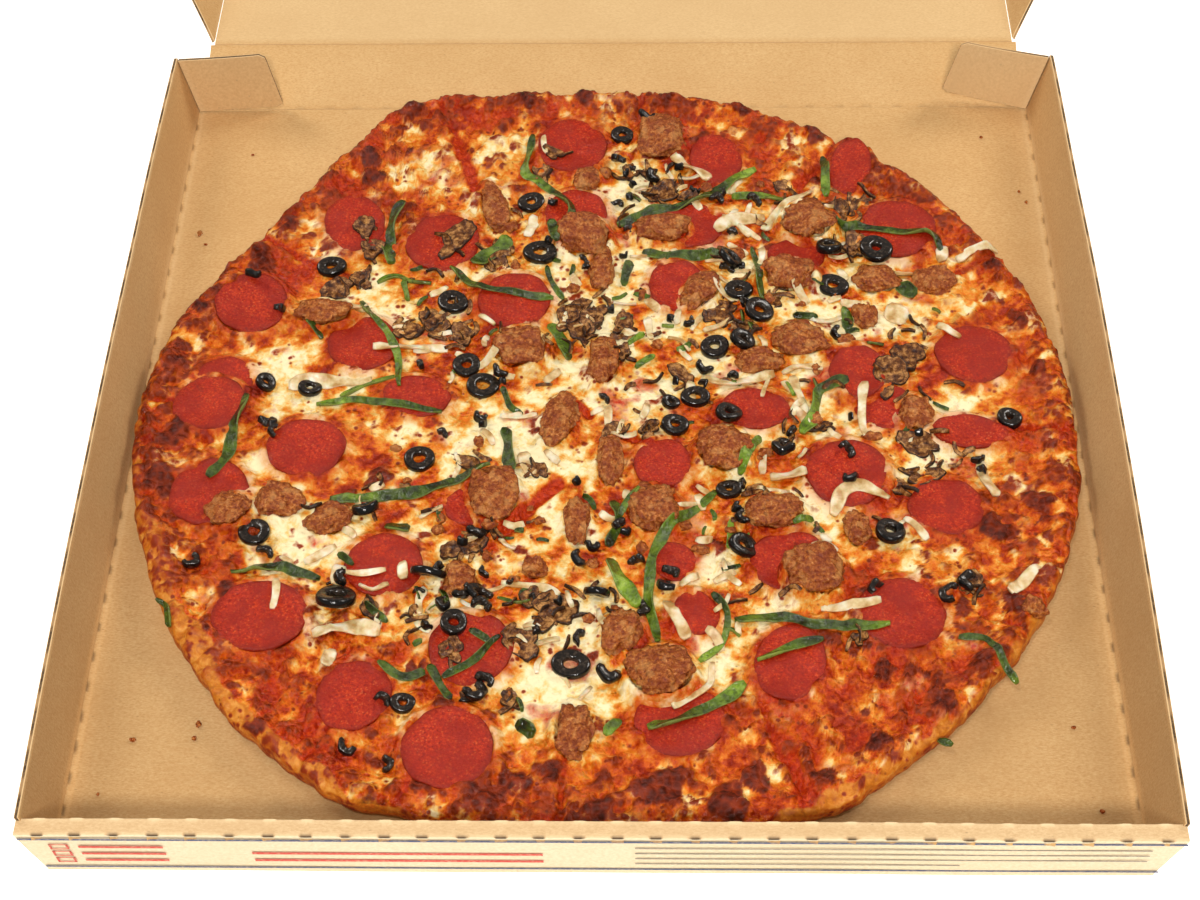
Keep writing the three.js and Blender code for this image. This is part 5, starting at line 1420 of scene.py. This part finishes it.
def ribbon(flat, width, thick, seed, curl, lift, dish, ends):
    """A soft strip laid over what is under it: (points, faces, edge mask). dish is how hollow
    it is, ends the share of its width left at its ends."""
    draw = random.Random(seed)
    line = curve_points(flat, STRIP_STEP)
    count = len(line)
    ground = resting(line[:, 0], line[:, 1])
    for _ in range(4):                       # it bridges small dips
        ground = np.maximum(ground, np.convolve(np.pad(ground, 1, "edge"), [.25, .5, .25],
                                                "valid"))
    tangent = np.gradient(line, axis=0)
    tangent /= np.linalg.norm(tangent, axis=1, keepdims=True) + 1e-9
    share = np.linspace(0, 1, count)
    length = STRIP_STEP * count
    wander = [draw.uniform(0, 6.28) for _ in range(4)]
    roll = curl * (np.sin(length / 13 * share + wander[0])
                   + 0.5 * np.sin(length / 5 * share + wander[3]))
    taper = np.minimum(smooth(-0.05, 0.1, share), 1 - smooth(0.9, 1.05, share))
    taper = taper * (1 - ends) + ends
    size = width * taper * (1 + 0.13 * np.sin(length / 6 * share + wander[1])
                            + 0.08 * np.sin(length / 2.7 * share + wander[2]))
    rise = ground + thick * 0.3 + np.abs(np.sin(roll)) * width * 0.3 \
        + lift * (0.5 + 0.5 * np.sin(length / 9 * share + wander[0]))
    sides = 14
    vertices, edge = [], []
    for k in range(count):
        across = np.array([-tangent[k][1], tangent[k][0]])
        sway = 0.4 * math.sin(length / 4 * share[k] + wander[3])
        for i in range(sides):
            angle = 2 * math.pi * i / sides
            c, s = math.cos(angle), math.sin(angle)
            c = math.copysign(abs(c) ** 0.75, c)
            flat_x = c * size[k] / 2
            # the strip is dished along its middle, like the wall it was cut from
            flat_z = s * thick / 2 - dish * thick * (1 - (2 * flat_x / width) ** 2)
            turned_x = flat_x * math.cos(roll[k]) - flat_z * math.sin(roll[k]) + sway
            turned_z = flat_x * math.sin(roll[k]) + flat_z * math.cos(roll[k])
            place = line[k] + across * turned_x
            vertices.append((place[0], place[1], rise[k] + turned_z))
            edge.append(float(smooth(0.55, 1.0, abs(c))) if s > -0.2 else 1.0)
    faces = skin_over(count, sides)
    faces.append(tuple(range(sides))[::-1])
    faces.append(tuple(range((count - 1) * sides, count * sides)))
    return vertices, faces, edge


def loose_ribbon(draw, x, y, length, width, thick, curl, dish, bend=0.3):
    """A short curved strip lying any way round."""
    turn = draw.uniform(0, math.pi)
    a, b = math.cos(turn) * length / 2, math.sin(turn) * length / 2
    arc = draw.uniform(-bend, bend)
    flat = [x - a, y - b, x - b * arc, y + a * arc, x + a, y + b]
    return ribbon(flat, width, thick, draw.randrange(10 ** 6), curl, lift=0.5, dish=dish,
                  ends=0.6)


def scattered(patches, seed):
    """Seeded places in round patches (x, y, spread, how many), clear of the meat."""
    draw = random.Random(seed)
    for x, y, spread, many in patches:
        found = []
        for _ in range(many * 6):
            px, py = draw.gauss(x, spread), draw.gauss(y, spread)
            if len(found) < many and all(
                    math.hypot(px - a, py - b) > BITS_APART for a, b in found) \
                    and read(BAKE["ring"], px, py) < 0.6 \
                    and all(np.hypot(*topping.local(px, py)) > 1.1 for topping, _ in LAID):
                found.append((px, py))
        yield from ((px, py, draw) for px, py in found)


def mushroom_slice(x, y, across, along, turn):
    """A slice through cap and stem, shrunk and curled: (points, faces, edge mask)."""
    draw = random.Random(int(x * 5 + y * 11))
    turns = np.linspace(0, 2 * math.pi, 41)[:-1]
    # a broad cap above, pinched in where the stem leaves it
    depth = draw.uniform(0.3, 0.5)
    cap = 1 - depth * np.exp(-((turns - 3.75) / 0.36) ** 2) \
        - depth * np.exp(-((turns - 5.67) / 0.36) ** 2)
    cap = cap * (1 + 0.07 * np.sin(3 * turns + draw.uniform(0, 6)) + 0.06 * np.sin(
        5 * turns + draw.uniform(0, 6)) + 0.04 * np.sin(11 * turns + draw.uniform(0, 6)))
    spin = turn + draw.uniform(-60, 60)
    topping = on_cheese(x, y, across, along, spin, 3.0, 0.9)
    thick = draw.uniform(1.8, 2.8)
    curl, sweep = draw.uniform(0.6, 2.4), draw.uniform(0, 3.14)
    # (share of the outline, share of the thickness)
    rings = [(0.9, 0.0), (1.0, 0.25), (1.01, 0.6), (0.96, 0.95), (0.88, 1.0), (0.74, 0.82),
             (0.58, 0.95), (0.42, 0.72), (0.22, 0.8)]
    vertices, edge = [], []
    for share, up in rings:
        u, v = share * cap * np.cos(turns), share * cap * np.sin(turns)
        px, py = topping.place(u, v)
        fold = u * math.cos(sweep) + v * math.sin(sweep)
        z = topping.plane(px, py) + up * thick + curl * (fold * fold - 0.25) \
            + 0.45 * lumps(px, py, 3, 8) * (up > 0.5)
        vertices += list(zip(px, py, z))
        gills = 0.5 + 0.5 * np.cos(turns * 2)
        edge += list(np.full_like(turns, 1.0) if share > 0.9 else
                     (0.25 + 0.55 * gills if share in (0.74, 0.42) else 0.15 + 0 * turns))
    count = len(turns)
    faces = skin_over(len(rings), count)
    faces.append(tuple(range(count))[::-1])
    faces.append(tuple(range((len(rings) - 1) * count, len(rings) * count)))
    return vertices, faces, edge


def pebble(x, y, size, height, seed):
    """A small uneven crumb with its middle at this height: (points, faces, edge mask)."""
    knobbly = np.array([1 + 0.45 * noise.noise(Vector(p) * 1.6 + Vector((x, y, seed)))
                        for p in PEBBLE])[:, None]
    draw = random.Random(int(x * 7 + y * 3 + seed))
    stretch = np.array([draw.uniform(0.7, 1.4), draw.uniform(0.7, 1.4), 0.7])
    return (PEBBLE * knobbly * size * stretch + (x, y, height), PEBBLE_FACES,
            [0.8] * len(PEBBLE))


def gathered(name, parts, made_of):
    """One object from many (points, faces, edge mask)."""
    vertices, faces, edge = [], [], []
    for points, polygons, mask in parts:
        base = len(vertices)
        vertices += [tuple(p) for p in points]
        faces += [tuple(i + base for i in polygon) for polygon in polygons]
        edge += list(mask)
    piece(name, vertices, faces, [made_of], "tray", attributes={"edge": edge})


def lay_toppings():
    """All the toppings from the lowest up, each resting on what was laid before it."""
    meat, mince = cured_meat(), fried_sausage()
    names = sorted(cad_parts)
    for k, spot in enumerate(HIDDEN_PEPPERONI):
        topping = on_cheese(*spot, thick=PEPPERONI_THICK, sunk=0.8)
        LAID.append((topping, False))
        pepperoni_slice(f"buried_pepperoni_{k + 1}", topping, meat)
    for n in [n for n in names if n.startswith("pepperoni")]:
        topping = from_node(n, PEPPERONI_THICK, PEPPERONI_CORNERS)
        LAID.append((topping, False))
        pepperoni_slice(n + "_slice", topping, meat, n)
    for n in [n for n in names if n.startswith("sausage")]:
        topping = from_node(n, SAUSAGE_HEIGHT, SAUSAGE_CORNERS)
        LAID.append((topping, True))
        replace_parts(piece(n + "_lump", sausage_lump(topping, SAUSAGE_HEIGHT), BALL_FACES,
                          [mince], "tray"), n)
    small = []
    for spot in SMALL_SAUSAGE:
        topping = on_cheese(*spot, thick=SMALL_SAUSAGE_HEIGHT, sunk=1.5)
        LAID.append((topping, True))
        small.append((sausage_lump(topping, SMALL_SAUSAGE_HEIGHT), BALL_FACES,
                      [0.0] * len(BALL)))
    draw_cheese_up()
    for x, y, any_way in scattered(MEAT_PATCHES, 61):
        size = any_way.uniform(1.6, 3.4)
        small.append(pebble(x, y, size, float(resting(x, y)) + 0.3 * size, seed=1))
    gathered("small_sausage", small, mince)
    mushrooms = [mushroom_slice(*spot) for spot in MUSHROOMS]
    for x, y, across, along, _ in MUSHROOMS:
        any_way = random.Random(int(x * 3 + y))
        for _ in range(2):
            mushrooms.append(loose_ribbon(
                any_way, x + any_way.uniform(-1, 1) * across, y + any_way.uniform(-1, 1) * along,
                length=any_way.uniform(6, 12), width=any_way.uniform(1.6, 3.2), thick=1.6,
                curl=0.9, dish=0.5, bend=0.6))
    for x, y, any_way in scattered(MUSHROOM_PATCHES, 62):
        mushrooms.append(loose_ribbon(any_way, x, y, length=any_way.uniform(5, 11),
                                      width=any_way.uniform(1.6, 3.0), thick=1.5, curl=0.9,
                                      dish=0.5, bend=0.6))
    onions = [ribbon(flat, width * ONION_KEEPS, thick=1.5, seed=300 + k, curl=0.45, lift=0.3,
                     dish=0.4, ends=0.55)
              for k, (width, *flat) in enumerate(ONIONS)]
    for x, y, any_way in scattered(ONION_PATCHES, 63):
        onions.append(loose_ribbon(any_way, x, y, length=any_way.uniform(6, 17),
                                   width=any_way.uniform(2.2, 4.6), thick=1.2, curl=0.4,
                                   dish=0.35))
    gathered("onion_slivers", onions, cooked_onion())
    gathered("mushroom_slices", mushrooms, cooked_mushroom())
    peppers = [ribbon(flat, width * PEPPER_KEEPS, thick=1.9, seed=100 + k, curl=0.6, lift=0.8,
                      dish=0.45, ends=0.35)
               for k, (width, *flat) in enumerate(PEPPERS)]
    for x, y, any_way in scattered(PEPPER_PATCHES, 64):
        peppers.append(loose_ribbon(any_way, x, y, length=any_way.uniform(4, 9),
                                    width=any_way.uniform(1.6, 3.4), thick=1.4, curl=0.6,
                                    dish=0.5))
    olives = [olive_slice(*spot) for spot in OLIVES]
    for x, y, any_way in scattered(OLIVE_PATCHES, 65):
        olives.append(olive_slice(
            x, y, radius=any_way.uniform(2.6, 4.4), tilt=any_way.uniform(0, 50),
            turn=any_way.uniform(0, 180), sweep=any_way.uniform(110, 200)))
    gathered("olive_slices", olives, black_olive())
    gathered("green_pepper_strips", peppers, green_pepper())
    gathered("fallen_crumbs", [pebble(x, y, size, BOARD + 0.6 * size + 0.3, seed=2)
                               for x, y, size in CRUMBS], mince)


# ---------------------------------------------------------------- camera, light and table
def aim_camera():
    """The camera, aimed by how far it is turned left, down and over."""
    data = bpy.data.cameras.new("camera")
    data.sensor_width, data.lens = SENSOR, LENS
    data.clip_start, data.clip_end = 0.05, 20.0
    camera = bpy.data.objects.new("camera", data)
    yaw, pitch, roll = (math.radians(d) for d in CAMERA_TURN)
    ahead = Vector((math.sin(yaw), math.cos(yaw), 0))
    level = Vector((math.cos(yaw), -math.sin(yaw), 0))
    look = ahead * math.cos(pitch) - Vector((0, 0, math.sin(pitch)))
    up = ahead * math.sin(pitch) + Vector((0, 0, math.cos(pitch)))
    right = level * math.cos(roll) + up * math.sin(roll)
    top = up * math.cos(roll) - level * math.sin(roll)
    camera.matrix_world = Matrix.Translation(CAMERA_PLACE) @ Matrix(
        (right, top, -look)).transposed().to_4x4()
    bpy.context.scene.collection.objects.link(camera)
    bpy.context.scene.camera = camera


def hang_lamp(name, place, target, width, watts, code):
    """A round soft lamp aimed at a place."""
    data = bpy.data.lights.new(name, "AREA")
    data.shape = "DISK"
    data.size, data.energy = width, watts
    data.color = tint(code)[:3]
    made = bpy.data.objects.new(name, data)
    made.location = place
    made.rotation_euler = (Vector(target) - Vector(place)).to_track_quat("-Z", "Y").to_euler()
    bpy.context.scene.collection.objects.link(made)


def set_studio():
    """A white backdrop, the lamps and a matt white table."""
    scene = bpy.context.scene
    scene.view_settings.view_transform = "Standard"
    world = bpy.data.worlds.new("studio")
    scene.world = world
    world.use_nodes = True
    tree = world.node_tree
    backdrop = tree.nodes["Background"]
    backdrop.inputs["Color"].default_value = (1.0, 1.0, 1.0, 1.0)
    # a white backdrop that lights the part much less than it shows
    seen = add(tree, "ShaderNodeLightPath").outputs["Is Camera Ray"]
    strength = add(tree, "ShaderNodeMapRange", {"Value": seen, "To Min": BACKDROP_LIGHT,
                                                "To Max": 1.0})
    tree.links.new(strength.outputs[0], backdrop.inputs["Strength"])
    for lamp in LAMPS:
        hang_lamp(*lamp)
    made = bpy.data.materials.new("matt_white_table")
    made.use_nodes = True
    shader = made.node_tree.nodes["Principled BSDF"]
    shader.inputs["Base Color"].default_value = tint("#fbfbfb")
    shader.inputs["Roughness"].default_value = 0.9
    shader.inputs["Emission Color"].default_value = (1, 1, 1, 1)
    shader.inputs["Emission Strength"].default_value = TABLE_GLOW
    mesh = bpy.data.meshes.new("table")
    mesh.from_pydata([(x * TABLE_REACH, y * TABLE_REACH, TABLE_TOP)
                      for x, y in ((-1, -1), (1, -1), (1, 1), (-1, 1))], [], [(0, 1, 2, 3)])
    mesh.materials.append(made)
    table = bpy.data.objects.new("table", mesh)
    scene.collection.objects.link(table)


# ---------------------------------------------------------------- the scene
aim_camera()
set_studio()

# the colours of each liner: as it is, in its clouds, and in its palest fibres
kraft = kraft_liner("recycled_kraft_liner", "#cba26c", "#ba8d56", "#d9b681")
rolled = kraft_liner("smooth_kraft_liner", "#d6b384", "#c8a272", "#e4c89a", 0.7)
outside = kraft_liner("bleached_outer_liner", "#dfcca7", "#d2bd95", "#e7d9ba", 0.7)
edge_material = fluted_edge()
inner_side = [kraft, outside, edge_material]
tray_shell(inner_side)
front_wall([rolled, kraft, edge_material, outside])
front_print(flexo_ink("navy_flexo_ink", "#3f4668"), flexo_ink("red_flexo_ink", "#c8402e"),
            flexo_ink("grey_flexo_ink", "#8a7a6a"))
corner_tab(-1, bottom_rise=2.5, top_rise=2.4, opened=2, materials=inner_side)
corner_tab(1, bottom_rise=6, top_rise=3.8, opened=10, materials=inner_side)
back_wall(inner_side)
lid_panel(inner_side)
side_flap(-1, inner_side)
side_flap(1, inner_side)
front_flap(inner_side)

lay_toppings()
baked_base(baked_cheese())
